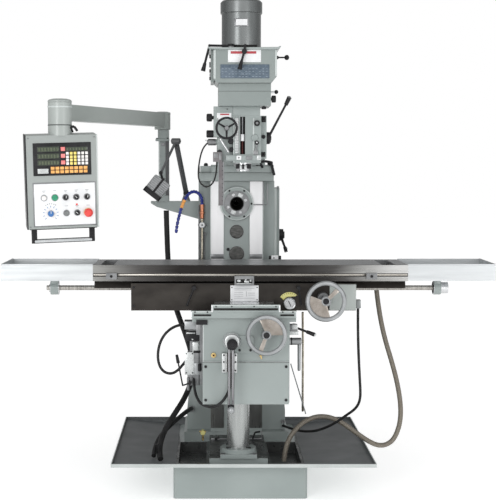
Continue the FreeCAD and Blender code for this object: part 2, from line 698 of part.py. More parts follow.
def turret_casting():
    body = rounded(block(-141, 199, -60, 400, "cap_top + 0.5", 1702), 10, upright)
    lug = block(-200, -140, -38, 60, "cap_top + 0.5", 1696)
    rails = [block(f"head_line - {a}", f"head_line - {b}", -60, 400, 1701, 1760) for a, b in ((130, 96), (-96, -130))]
    spigot = rod("z", 60, 1580, "cap_top + 1", "head_line", 240)
    return publish(fused(body, lug, spigot, *rails), "turret_casting")


def ram():
    bar = extrusion("XZ_Plane", [
        ("head_line - 95.5", 1702.6), ("head_line + 95.5", 1702.6), ("head_line + 95.5", 1840),
        ("head_line + 70", 1868), ("head_line - 70", 1868), ("head_line - 95.5", 1840)], -202, 640)
    knuckle = rod("y", 122, -232, -201, "head_line", "tilt_height")
    return publish(fused(bar, knuckle), "ram")


def head_housing():
    line = "head_line"
    block_body = block(-28, 112, -460, -268, "head_bottom", "head_shoulder")
    neck = block(-21, 97, -450, -268, "head_shoulder - 1", "gear_bottom")
    left_lobe = rounded(block(-112, -27, -440, -300, 1718, 1842), 8, upright)
    right_flange = block(111, 142, -425, -300, 1734, 1953)
    mount = rod("y", 122, -269, -232.6, line, "tilt_height")
    nose_ring = rod("z", 62, "head_bottom", 1758, line, "quill_line")
    bores = [
        rod("z", "quill_radius + running_gap", 1700, "head_shoulder - 2", line, "quill_line"),
        rod("z", 20, "head_shoulder - 3", "gear_bottom + 1", line, "quill_line"),
        block(6, 31, -461, -425, 1757, 1947),
        rod("x", 12.05, 95, 143, -385, 1840),
    ]
    return publish(less(fused(block_body, neck, left_lobe, right_flange, mount, nose_ring), *bores), "head_housing")


def quill():
    sleeve = rod("z", "quill_radius", "quill_bottom", 1935, "head_line", "quill_line")
    bore = rod("z", 30.05, "quill_bottom - 1", 1936, "head_line", "quill_line")
    return publish(less(sleeve, bore), "quill")


def vertical_spindle():
    shaft = turned("z", [(0, "nose_bottom"), ("nose_radius", "nose_bottom"), ("nose_radius", "quill_bottom - 0.5"),
                         (30, "quill_bottom - 0.5"), (30, 1935), (15, 1935), (15, 2090), (0, 2090)],
                   "head_line", "quill_line")
    socket = taper("z", 15.875, 8.75, "nose_bottom", "nose_bottom + 48.4", "head_line", "quill_line")
    pilot = rod("z", 8.7, "nose_bottom + 40", "nose_bottom + 110", "head_line", "quill_line")
    drawbar = rod("z", 6.5, "nose_bottom + 100", 2091, "head_line", "quill_line")
    threads = []
    for turn in range(4):
        angle = math.radians(45 + 90 * turn)
        threads.append(rod("z", 5, "nose_bottom - 1", "nose_bottom + 16",
                           f"head_line + 27*{math.cos(angle)}", f"quill_line + 27*{math.sin(angle)}"))
    return publish(less(shaft, socket, pilot, drawbar, *threads), "vertical_spindle")


def gear_housing():
    shell = block(-105, 160, -500, -200, "gear_bottom", "gear_top")
    hollow = block(-92, 147, -487, -213, "gear_bottom + 12", "gear_top - 12")
    hole = block(-10, 86, -440, -280, "gear_bottom - 1", "gear_bottom + 20")
    return publish(less(shell, hollow, hole), "gear_housing")


def belt_housing():
    shell = extrusion("XZ_Plane", [
        (-110, "gear_top"), (160, "gear_top"), (187, 2145), (187, "belt_top"), (-128, "belt_top"),
        (-128, 2130)], -525, -130)
    hollow = block(-118, 177, -515, -140, 2150, "belt_top - 10")
    shaft_hole = rod("z", 26, "belt_top - 11", "belt_top + 1", "motor_line", "quill_line")
    side_plate = block(-144, -128, -470, -230, 2120, "belt_top - 2")
    return publish(fused(less(shell, hollow, shaft_hole), side_plate), "belt_housing")


def head_motor():
    casing = turned("z", [
        (0, "belt_top"), ("motor_radius", "belt_top"), ("motor_radius", "motor_cap_bottom"),
        ("motor_cap_radius", "motor_cap_bottom + 2"), ("motor_cap_radius", "motor_top - 10"),
        ("motor_cap_radius - 10", "motor_top"), (0, "motor_top")], "motor_line", "quill_line")
    shaft = rod("z", 14, 2200, "belt_top + 1", "motor_line", "quill_line")
    pulley = turned("z", [(0, 2190), (70, 2190), (55, 2208), (55, 2222), (70, 2240), (0, 2240)],
                    "motor_line", "quill_line")
    return publish(fused(casing, shaft, pulley), "head_motor")


def feed_box():
    case = rounded(block(-129, -28, -460, -330, 1844, 1999), 8, upright)
    upper = rod("x", 16, -153, -128, -410, 1861)
    lower = rod("x", 15, -153, -112, -415, 1819)
    bore = rod("y", 8.05, -461, -425, -64, 1887)
    return publish(group(less(fused(case, upper), bore), lower), "feed_box")


def feed_handwheel():
    rim = ring("y", 51, 6, -545, -64, 1887)
    hub = rod("y", 13, -552, -520, -64, 1887)
    shaft = rod("y", 8, -521, -430, -64, 1887)
    spokes = []
    for turn in (30, 150, 270):
        angle = math.radians(turn)
        tip = (-64 + 50 * math.cos(angle), -545, 1887 + 50 * math.sin(angle))
        spokes.append(stick((-64, -540, 1887), tip, 6, 4.5))
    return publish(fused(rim, hub, shaft, *spokes), "feed_handwheel")


def quill_lever():
    hub = turned("x", [(0, 142.6), (31, 142.6), (31, 158), (22, 166), (0, 166)], -385, 1840)
    shaft = rod("x", 12, 100, 143, -385, 1840)
    arm = stick((158, -388, 1852), (249, -438, 2028), 6.5, 5.5)
    grip = stick((239, -433, 2008), (257, -443, 2046), 10, 12)
    return publish(fused(hub, shaft, arm, grip), "quill_lever")


def head_scales():
    stop_rod = rod("z", 5, 1757, 1947, 18, -447)
    stop_nut = rod("z", 11, 1824, 1858, 18, -447)
    strip = block(-13, -1, -463, -460, 1760, 1940)
    reader = rounded(block(-132, -86, -470, -440, 1718, 1768), 3, upright)
    beam = block(-104, -78, -462, -444, 1496, 1719)
    return publish(group(fused(stop_rod, stop_nut), strip, fused(reader, beam)), "head_scales")


def brake_lever():
    hub = rod("z", 15, "belt_top + 0.5", 2312, -42, -470)
    reach = stick((-42, -470, 2302), (-150, -470, 2304), 6)
    elbow = ball(7, -150, -470, 2304)
    drop = stick((-150, -470, 2304), (-176, -470, 2205), 6)
    grip = stick((-173, -470, 2216), (-183, -470, 2176), 8, 12)
    return publish(fused(hub, reach, elbow, drop, grip), "brake_lever")


def speed_lever():
    hub = rod("y", 13, -552, -525.6, 24, 2268)
    tail = stick((24, -545, 2268), (29, -545, 2304), 6, 5)
    arm = stick((24, -545, 2268), (6, -552, 2205), 6)
    grip = stick((10, -551, 2222), (0, -553, 2178), 8, 11)
    return publish(fused(hub, tail, arm, grip), "speed_lever")


def hilo_lever():
    outline = [(0, 188.5), (6, 190), (9, 194), (9, 200), (4, 205), (4, 233), (9, 235), (13, 241), (13, 249),
               (9, 255), (0, 258)]
    return publish(turned("x", outline, -400, 2250), "hilo_lever")


# ---------------------------------------------------------------- cords

COOLANT_HOSE = [(-190, 52, 1484), (-192, 50, 1515), (-204, 37, 1541), (-226, 12, 1556),
                (-251, -19, 1554), (-273, -50, 1534), (-290, -77, 1502), (-304, -98, 1462),
                (-316, -113, 1418), (-325, -123, 1375), (-330, -128, 1335)]
HEAD_CABLE = [(-156.5, -415.5, 1817), (-177, -420, 1800), (-194, -436, 1759), (-204, -455, 1706),
              (-208, -468, 1655), (-203, -475, 1623), (-187, -480, 1600), (-166, -480, 1590),
              (-144, -477, 1598), (-128, -471, 1618), (-118, -462, 1650), (-113, -455, 1686),
              (-113, -450, 1717)]
CLAMP_HOSE = [(-279.5, -520, 893), (-312, -521, 888), (-346, -523, 872), (-377, -526, 845),
              (-400, -529, 806), (-412, -531, 760), (-413, -532, 712), (-401, -532, 671),
              (-375, -531, 645), (-340, -529, 640), (-310, -526, 658), (-287, -522, 684),
              (-269, -520, 707)]
CRANK_HOSE = [(-39, -692, 676), (-41, -695, 640), (-49, -698, 600), (-65, -701, 560), (-90, -702, 526),
              (-122, -699, 504), (-158, -688, 502), (-195, -668, 513), (-216, -632, 541),
              (-227, -594, 580), (-231, -564, 620)]
POWER_HOSE = [(-391, 120, 1447), (-390, 121, 1390), (-387, 122, 1300), (-384, 122, 1200), (-374, 112, 1060),
              (-338, 75, 900), (-280, 22, 760), (-240, -50, 640), (-245, -130, 530), (-285, -200, 445),
              (-335, -262, 378), (-380, -325, 318), (-406, -390, 260), (-411, -450, 216), (-402, -502, 192)]
SUMP_HOSE = [(-250, 66, 336), (-252, 20, 347), (-268, -45, 350), (-300, -115, 338), (-342, -185, 316),
             (-383, -252, 290), (-418, -318, 258), (-438, -380, 220), (-440, -436, 192)]
TABLE_HOSE = [(740, -205, 1113), (740, -205, 1060), (749, -207, 985), (765, -210, 880), (790, -215, 770),
              (822, -224, 665), (849, -235, 565), (868, -246, 465), (874, -254, 378), (864, -262, 306),
              (836, -268, 240), (796, -273, 211), (750, -277, 208), (702, -281, 230), (652, -284, 264),
              (600, -281, 302), (548, -274, 338), (486, -266, 362), (420, -276, 366), (356, -300, 346),
              (304, -323, 306), (268, -332, 254), (250, -340, 196), (243, -344, 140)]
SADDLE_CABLE = [(612, -470, 969), (612, -470, 900), (614, -472, 800), (618, -475, 700), (623, -478, 610),
                (627, -478, 550), (628, -472, 505), (620, -458, 466), (600, -432, 432), (566, -396, 398),
                (520, -346, 350), (468, -286, 306), (412, -212, 270), (356, -122, 250), (306, -24, 242),
                (264, 66, 240)]


def cords():
    publish(cord(HEAD_CABLE, 4, "head cable"), "head_cable")
    publish(group(cord(CLAMP_HOSE, 7, "clamp hose"), cord(CRANK_HOSE, 7, "crank hose")), "knee_hoses")
    publish(group(cord(POWER_HOSE, 15, "power hose"), cord(SUMP_HOSE, 12, "sump hose")), "power_hoses")
    publish(cord(TABLE_HOSE, 13, "table hose"), "table_hose")
    publish(cord(SADDLE_CABLE, 7, "saddle cable"), "saddle_cable")


# ---------------------------------------------------------------- pendant

def pendant_boom():
    collar = rod("z", 44, 1897, 1991, "post_line", "post_depth")
    beam = doc.addObject("Part::Box", "beam")
    beam.Length, beam.Width, beam.Height = 62, 1100, 77
    reach = FreeCAD.Vector(NECK[0] - SIZE["post_line"], NECK[1] - SIZE["post_depth"], 0)
    turn = FreeCAD.Rotation(FreeCAD.Vector(0, 1, 0), reach)
    start = FreeCAD.Vector(SIZE["post_line"], SIZE["post_depth"], 1912)
    beam.Placement = FreeCAD.Placement(start + turn.multVec(FreeCAD.Vector(-31, 0, 0)), turn)
    neck = turned("z", [(0, 1891), ("neck_radius", 1891), ("neck_radius", 1996), ("neck_radius - 12", 2008),
                        (0, 2008)], NECK[0], NECK[1])
    bores = [rod("z", 14.05, 1896, 1970, "post_line", "post_depth"), rod("z", 22.05, 1890, 1950, NECK[0], NECK[1])]
    return publish(less(fused(collar, beam, neck), *bores), "pendant_boom")


def pendant_placement():
    turn = FreeCAD.Rotation(FreeCAD.Vector(0, 0, 1), PENDANT_TURN)
    lean = FreeCAD.Rotation(FreeCAD.Vector(1, 0, 0), PENDANT_LEAN)
    roll = FreeCAD.Rotation(FreeCAD.Vector(0, 1, 0), PENDANT_ROLL)
    return FreeCAD.Placement(FreeCAD.Vector(*NECK), turn.multiply(lean).multiply(roll))


ESTOP_PLACE = (118, -369)
START_PLACE = (-38, -294)
SPEED_PLACE = (-59, -369)


def pendant_box():
    half = "box_width/2"
    case = rounded(block(f"-{half}", half, "box_front", "box_back", "-box_height", 0), 6,
                   lambda edge: edge.Length > 90)
    handle_feet = [block(x, x + 26, -32, -14, "-box_height - 62", "-box_height + 1") for x in (-150, 124)]
    handle_bar = rod("x", 10, -150, 150, -23, "-box_height - 62")
    bores = [rod("y", 8.05, "box_front - 1", "box_front + 14", *place)
             for place in (ESTOP_PLACE, START_PLACE, SPEED_PLACE)]
    shell = less(fused(case, handle_bar, *handle_feet), *bores)
    hung = posed(shell, pendant_placement())
    neck = rod("z", "neck_radius", 1840, 1890, NECK[0], NECK[1])
    pivot = rod("z", 22, 1889, 1945, NECK[0], NECK[1])
    return publish(fused(hung, neck, pivot), "pendant_box")


def pendant_control(label, place, outline):
    """A turned button or knob on the pendant's face: outline is (radius, height from the face)."""
    points = [(radius, f"box_front + {along}") for radius, along in outline]
    return publish(posed(turned("y", points, *place), pendant_placement()), label)


def pendant_controls():
    pendant_control("estop_button", ESTOP_PLACE, [
        (0, -30), (12, -30), (20.5, -22), (20.5, -14), (8, -12), (8, 6), (0, 6)])
    pendant_control("start_button", START_PLACE, [(0, -9), (13.5, -9), (14.5, -7.5), (14.5, -4), (8, -4), (8, 8), (0, 8)])
    pendant_control("speed_knob", SPEED_PLACE, [
        (0, -20), (12, -20), (13.5, -18), (15, -1), (8, -1), (8, 12), (0, 12)])


# ---------------------------------------------------------------- lamp

LAMP_FOOT = (-281.0, 120.0, 1552.0)
LAMP_ELBOW = (-330.0, -120.0, 1829.0)
LAMP_WRIST = (-409.0, -160.0, 1660.0)
LAMP_HEAD = (-424.0, -180.0, 1588.0)


def along(start, end, part):
    return tuple(a + (b - a) * part for a, b in zip(start, end))


def lamp_lower_arm():
    swivel = rod("z", 15, 1534.5, 1562, LAMP_FOOT[0], LAMP_FOOT[1])
    arm = stick(LAMP_FOOT, along(LAMP_FOOT, LAMP_ELBOW, 0.93), 13)
    return publish(fused(swivel, arm), "lamp_lower_arm")


def lamp_upper_arm():
    knuckle = ball(17, *LAMP_ELBOW)
    across = (0.98 * 24, -0.199 * 24)
    pivot = stick((LAMP_ELBOW[0] - across[0], LAMP_ELBOW[1] - across[1], LAMP_ELBOW[2]),
                  (LAMP_ELBOW[0] + across[0], LAMP_ELBOW[1] + across[1], LAMP_ELBOW[2]), 8)
    arm = stick(LAMP_ELBOW, LAMP_WRIST, 7)
    wrist = rod("y", 10, -172, -146, LAMP_WRIST[0], LAMP_WRIST[2])
    return publish(fused(knuckle, pivot, arm, wrist), "lamp_upper_arm")


def lamp_head():
    case = rounded(block(-52, 52, -48, 48, -62, 50), 5, upright)
    hollow = block(-44, 44, -40, 40, -63, -30)
    turn = FreeCAD.Rotation(FreeCAD.Vector(0, 1, 0), 38)
    hung = posed(less(case, hollow), FreeCAD.Placement(FreeCAD.Vector(*LAMP_HEAD), turn))
    neck = stick((-398, -182, 1618), (-408, -182, 1656), 6)
    knuckle = rod("y", 9, -190, -174, LAMP_WRIST[0], LAMP_WRIST[2])
    return publish(fused(hung, neck, knuckle), "lamp_head")


# ---------------------------------------------------------------- build

def build():
    base_casting()
    column_casting()
    chip_pan()
    column_side_cover()
    spindle_flange()
    bore_plugs()
    screw_pedestal()
    rear_motor()
    pendant_post()
    coolant_line()
    horizontal_spindle()
    spindle_speed_lever()
    knee_casting()
    knee_cover()
    way_wipers()
    knee_fittings()
    lubricator()
    lube_lever()
    knee_lock_lever()
    knee_crank()
    elevating_screw()
    handwheel("cross_line", "cross_height", -745, -120, (0, 115), 250, "cross_handwheel")
    saddle_casting()
    saddle_fittings()
    table_lock((-229, 1080), (-264, 992), "table_lock_left")
    table_lock((302, 1080), (315, 996), "table_lock_right")
    handwheel("traverse_wheel_line", "traverse_wheel_height", -690, -380, (160, 285), 45, "traverse_handwheel")
    drive_nut()
    machine_table()
    end_trays()
    table_leadscrew()
    stop_dogs()
    turret_casting()
    ram()
    head_housing()
    quill()
    vertical_spindle()
    gear_housing()
    belt_housing()
    head_motor()
    feed_box()
    feed_handwheel()
    quill_lever()
    head_scales()
    brake_lever()
    speed_lever()
    hilo_lever()
    cords()
    pendant_boom()
    pendant_box()
    pendant_controls()
    lamp_lower_arm()
    lamp_upper_arm()
    lamp_head()


def check_and_write():
    doc.recompute()
    for made in doc.Objects:
        if "Invalid" in made.State or "Error" in made.State:
            raise RuntimeError(f"{made.Name} ({made.Label}) is {made.State}")
    os.makedirs("parts", exist_ok=True)
    for piece in nodes:
        if piece.Shape.isNull() or not piece.Shape.isValid():
            raise RuntimeError(f"{piece.Label} has no valid shape")
        piece.Shape.exportStep(f"parts/{piece.Label}.step")
    print(f"{len(nodes)} sub-parts")


build()
check_and_write()
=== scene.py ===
import bmesh
import bpy
import math
from mathutils import Matrix, Vector


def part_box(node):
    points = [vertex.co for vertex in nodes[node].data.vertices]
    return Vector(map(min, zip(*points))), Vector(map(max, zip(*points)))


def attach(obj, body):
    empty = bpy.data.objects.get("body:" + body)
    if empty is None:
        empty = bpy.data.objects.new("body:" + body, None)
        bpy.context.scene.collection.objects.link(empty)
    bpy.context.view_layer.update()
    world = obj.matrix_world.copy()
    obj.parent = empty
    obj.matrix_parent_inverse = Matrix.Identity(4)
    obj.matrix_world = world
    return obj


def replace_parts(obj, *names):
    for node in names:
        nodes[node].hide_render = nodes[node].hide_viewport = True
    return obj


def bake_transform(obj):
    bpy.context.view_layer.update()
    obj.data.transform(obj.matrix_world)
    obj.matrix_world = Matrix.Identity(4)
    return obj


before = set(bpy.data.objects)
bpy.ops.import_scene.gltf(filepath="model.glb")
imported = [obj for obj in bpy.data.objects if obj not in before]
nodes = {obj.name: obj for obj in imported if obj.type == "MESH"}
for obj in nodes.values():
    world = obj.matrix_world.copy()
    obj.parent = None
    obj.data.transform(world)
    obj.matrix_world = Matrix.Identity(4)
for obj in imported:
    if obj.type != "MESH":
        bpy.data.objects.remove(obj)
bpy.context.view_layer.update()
MM = 0.001
TAU = 2 * math.pi


# ---------------------------------------------------------------- stage, camera and light

def make_stage():
    camera_data = bpy.data.cameras.new("camera")
    camera_data.lens = 86.4
    camera_data.sensor_width = 36
    camera_data.shift_x = 0.079
    camera_data.clip_end = 100
    camera = bpy.data.objects.new("camera", camera_data)
    camera.location = (-0.155, -6.588, 1.717)
    camera.rotation_euler = (math.radians(90 - 4.19), 0, 0)
    bpy.context.scene.collection.objects.link(camera)
    bpy.context.scene.camera = camera

    bpy.context.scene.view_settings.view_transform = "Standard"
    world = bpy.data.worlds.new("studio")
    bpy.context.scene.world = world
    world.use_nodes = True
    background = world.node_tree.nodes["Background"]
    background.inputs["Color"].default_value = (1.0, 1.0, 1.0, 1)
    # a white backdrop for the camera, and light that comes mostly from the front for the machine
    tree = world.node_tree
    seen = tree.nodes.new("ShaderNodeLightPath")
    place = tree.nodes.new("ShaderNodeTexCoord")
    parts = tree.nodes.new("ShaderNodeSeparateXYZ")
    front = tree.nodes.new("ShaderNodeMapRange")
    front.inputs["From Min"].default_value, front.inputs["From Max"].default_value = 0.25, -0.85
    front.inputs["To Min"].default_value, front.inputs["To Max"].default_value = 0.42, 1.12
    strength = tree.nodes.new("ShaderNodeMix")
    strength.inputs[3].default_value = 1.0
    for start, end in ((place.outputs["Generated"], parts.inputs[0]), (parts.outputs["Y"],
            front.inputs["Value"]), (seen.outputs["Is Camera Ray"], strength.inputs[0]), (front.outputs[0],
            strength.inputs[2]), (strength.outputs[0], background.inputs["Strength"])):
        tree.links.new(start, end)

    def area(name, place, aim, size, power):
        light = bpy.data.lights.new(name, "AREA")
        light.shape = "RECTANGLE"
        light.size, light.size_y = size
        light.energy = power
        lamp = bpy.data.objects.new(name, light)
        lamp.location = place
        lamp.rotation_euler = (Vector(aim) - Vector(place)).to_track_quat("-Z", "Y").to_euler()
        bpy.context.scene.collection.objects.link(lamp)

    area("key", (-2.4, -5.2, 1.9), (0, -0.3, 0.9), (1.6, 2.4), 55)
    area("fill", (3.4, -5.0, 1.2), (0, -0.3, 0.9), (1.6, 2.6), 38)

    bm = bmesh.new()
    bmesh.ops.create_grid(bm, x_segments=2, y_segments=2, size=30)
    mesh = bpy.data.meshes.new("floor")
    bm.to_mesh(mesh)
    floor = bpy.data.objects.new("floor", mesh)
    bpy.context.scene.collection.objects.link(floor)
    surface = bpy.data.materials.new("floor_white")
    surface.use_nodes = True
    shader = surface.node_tree.nodes["Principled BSDF"]
    shader.inputs["Base Color"].default_value = (0.93, 0.93, 0.93, 1)
    shader.inputs["Roughness"].default_value = 0.9
    shader.inputs["Emission Color"].default_value = (1, 1, 1, 1)
    shader.inputs["Emission Strength"].default_value = 0.46
    floor.data.materials.append(surface)


# ---------------------------------------------------------------- materials

class Shading:
    """One material's node tree, with short calls for the pieces that every finish needs."""

    def __init__(self, name):
        self.material = bpy.data.materials.new(name)
        self.material.use_nodes = True
        self.tree = self.material.node_tree
        self.shader = self.tree.nodes["Principled BSDF"]
        self.place = self.tree.nodes.new("ShaderNodeTexCoord").outputs["Object"]

    def node(self, kind, inputs=None, **settings):
        made = self.tree.nodes.new(kind)
        for key, value in settings.items():
            setattr(made, key, value)
        for key, value in (inputs or {}).items():
            if isinstance(value, bpy.types.NodeSocket):
                self.tree.links.new(value, made.inputs[key])
            else:
                made.inputs[key].default_value = value
        return made

    def set(self, key, value):
        if isinstance(value, bpy.types.NodeSocket):
            self.tree.links.new(value, self.shader.inputs[key])
        else:
            self.shader.inputs[key].default_value = value

    def stretched(self, stretch):
        return self.node("ShaderNodeMapping", {"Vector": self.place, "Scale": stretch}).outputs["Vector"]

    def noise(self, scale, detail=3.0, stretch=(1, 1, 1), distortion=0.0):
        return self.node("ShaderNodeTexNoise", {"Vector": self.stretched(stretch), "Scale": scale,
            "Detail": detail, "Distortion": distortion,}).outputs["Fac"]

    def ramp(self, factor, stops):
        made = self.node("ShaderNodeValToRGB", {"Fac": factor})
        elements = made.color_ramp.elements
        while len(elements) < len(stops):
            elements.new(0.5)
        for element, (position, colour) in zip(elements, stops):
            element.position = position
            element.color = (*colour, 1) if len(colour) == 3 else colour
        return made.outputs["Color"]

    def span(self, factor, low, high, start=0.3, end=0.7):
        return self.node("ShaderNodeMapRange", {"Value": factor, "From Min": start, "From Max": end,
            "To Min": low, "To Max": high,}).outputs["Result"]

    def mix(self, factor, first, second):
        made = self.node("ShaderNodeMix", data_type="RGBA")
        for socket, value in ((made.inputs[0], factor), (made.inputs[6], first), (made.inputs[7], second)):
            if isinstance(value, bpy.types.NodeSocket):
                self.tree.links.new(value, socket)
            else:
                socket.default_value = value if isinstance(value, float) else (*value, 1)
        return made.outputs[2]

    def bump(self, height, strength, distance, below=None):
        inputs = {"Height": height, "Strength": strength, "Distance": distance}
        if below is not None:
            inputs["Normal"] = below
        return self.node("ShaderNodeBump", inputs).outputs["Normal"]

    def edges(self, radius):
        """(softened normal, how much of an edge a point is)."""
        soft = self.node("ShaderNodeBevel", {"Radius": radius}, samples=4).outputs["Normal"]
        plain = self.node("ShaderNodeNewGeometry").outputs["Normal"]
        facing = self.node("ShaderNodeVectorMath", {0: soft, 1: plain},
            operation="DOT_PRODUCT").outputs["Value"]
        return soft, self.span(facing, 1.0, 0.0, 0.80, 0.995)


def finish(name, dark, light, rough, metal=0.0, scale=6.0, stretch=(1, 1, 1), grain=(400, 0.15, 0.0004),
        edge=None, radius=0.002, coat=0.0, detail=4.0):
    """A worked surface: colour and gloss that vary, fine grain in relief, softened and worn edges."""
    s = Shading(name)
    wide = s.noise(scale, detail, stretch)
    fine = s.noise(grain[0], 2.0, stretch)
    colour = s.ramp(wide, [(0.3, dark), (0.7, light)])
    soft, rim = s.edges(radius)
    if edge is not None:
        patchy = s.node("ShaderNodeMath", {0: rim, 1: s.span(s.noise(60, 3.0), 0.15, 1.0)},
            operation="MULTIPLY")
        colour = s.mix(patchy.outputs["Value"], colour, edge)
    s.set("Base Color", colour)
    s.set("Roughness", s.span(s.noise(scale * 3, 3.0, stretch), rough[0], rough[1]))
    s.set("Metallic", metal)
    s.set("Coat Weight", coat)
    s.set("Normal", s.bump(fine, grain[1], grain[2], soft))
    return s.material


def graded(name, axis, stops, rough, stretch, metal=0.9, scale=3.0, grain=(250, 0.2, 0.0003)):
    """Ground metal with a painted reflection that changes along one axis: stops are (place in metres, colour).
    """
    s = Shading(name)
    along = s.node("ShaderNodeSeparateXYZ", {"Vector": s.place}).outputs[axis]
    first, last = stops[0][0], stops[-1][0]
    wave = s.span(s.noise(scale, 4.0, stretch), -0.04, 0.04)
    place = s.node("ShaderNodeMapRange", {"Value": along, "From Min": first, "From Max": last, "To Min": 0.0,
        "To Max": 1.0}).outputs["Result"]
    shifted = s.node("ShaderNodeMath", {0: place, 1: wave}, operation="ADD").outputs["Value"]
    colour = s.ramp(shifted, [((at - first) / (last - first), tone) for at, tone in stops])
    soft, rim = s.edges(0.0015)
    colour = s.mix(s.node("ShaderNodeMath", {0: rim, 1: 0.5}, operation="MULTIPLY").outputs["Value"], colour,
        (0.62, 0.62, 0.60))
    s.set("Base Color", colour)
    s.set("Roughness", s.span(s.noise(scale * 4, 3.0, stretch), rough[0], rough[1]))
    s.set("Metallic", metal)
    s.set("Normal", s.bump(s.noise(grain[0], 2.0, stretch), grain[1], grain[2], soft))
    return s.material


def woven(name, dark, light, pitch):
    """Braided hose cover: two crossed sets of fine strands."""
    s = Shading(name)
    strands = []
    for turn in (0.7, -0.7):
        turned = s.node("ShaderNodeMapping", {"Vector": s.place, "Rotation": (turn, turn,
            turn)}).outputs["Vector"]
        strands.append(s.node("ShaderNodeTexWave", {"Vector": turned, "Scale": pitch, "Distortion": 0.3},
            bands_direction="Z").outputs["Fac"])
    weave = s.node("ShaderNodeMath", {0: strands[0], 1: strands[1]}, operation="MULTIPLY").outputs["Value"]
    s.set("Base Color", s.ramp(weave, [(0.05, dark), (0.6, light)]))
    s.set("Roughness", s.span(s.noise(40), 0.45, 0.65))
    s.set("Metallic", 0.35)
    s.set("Normal", s.bump(weave, 0.5, 0.0008))
    return s.material


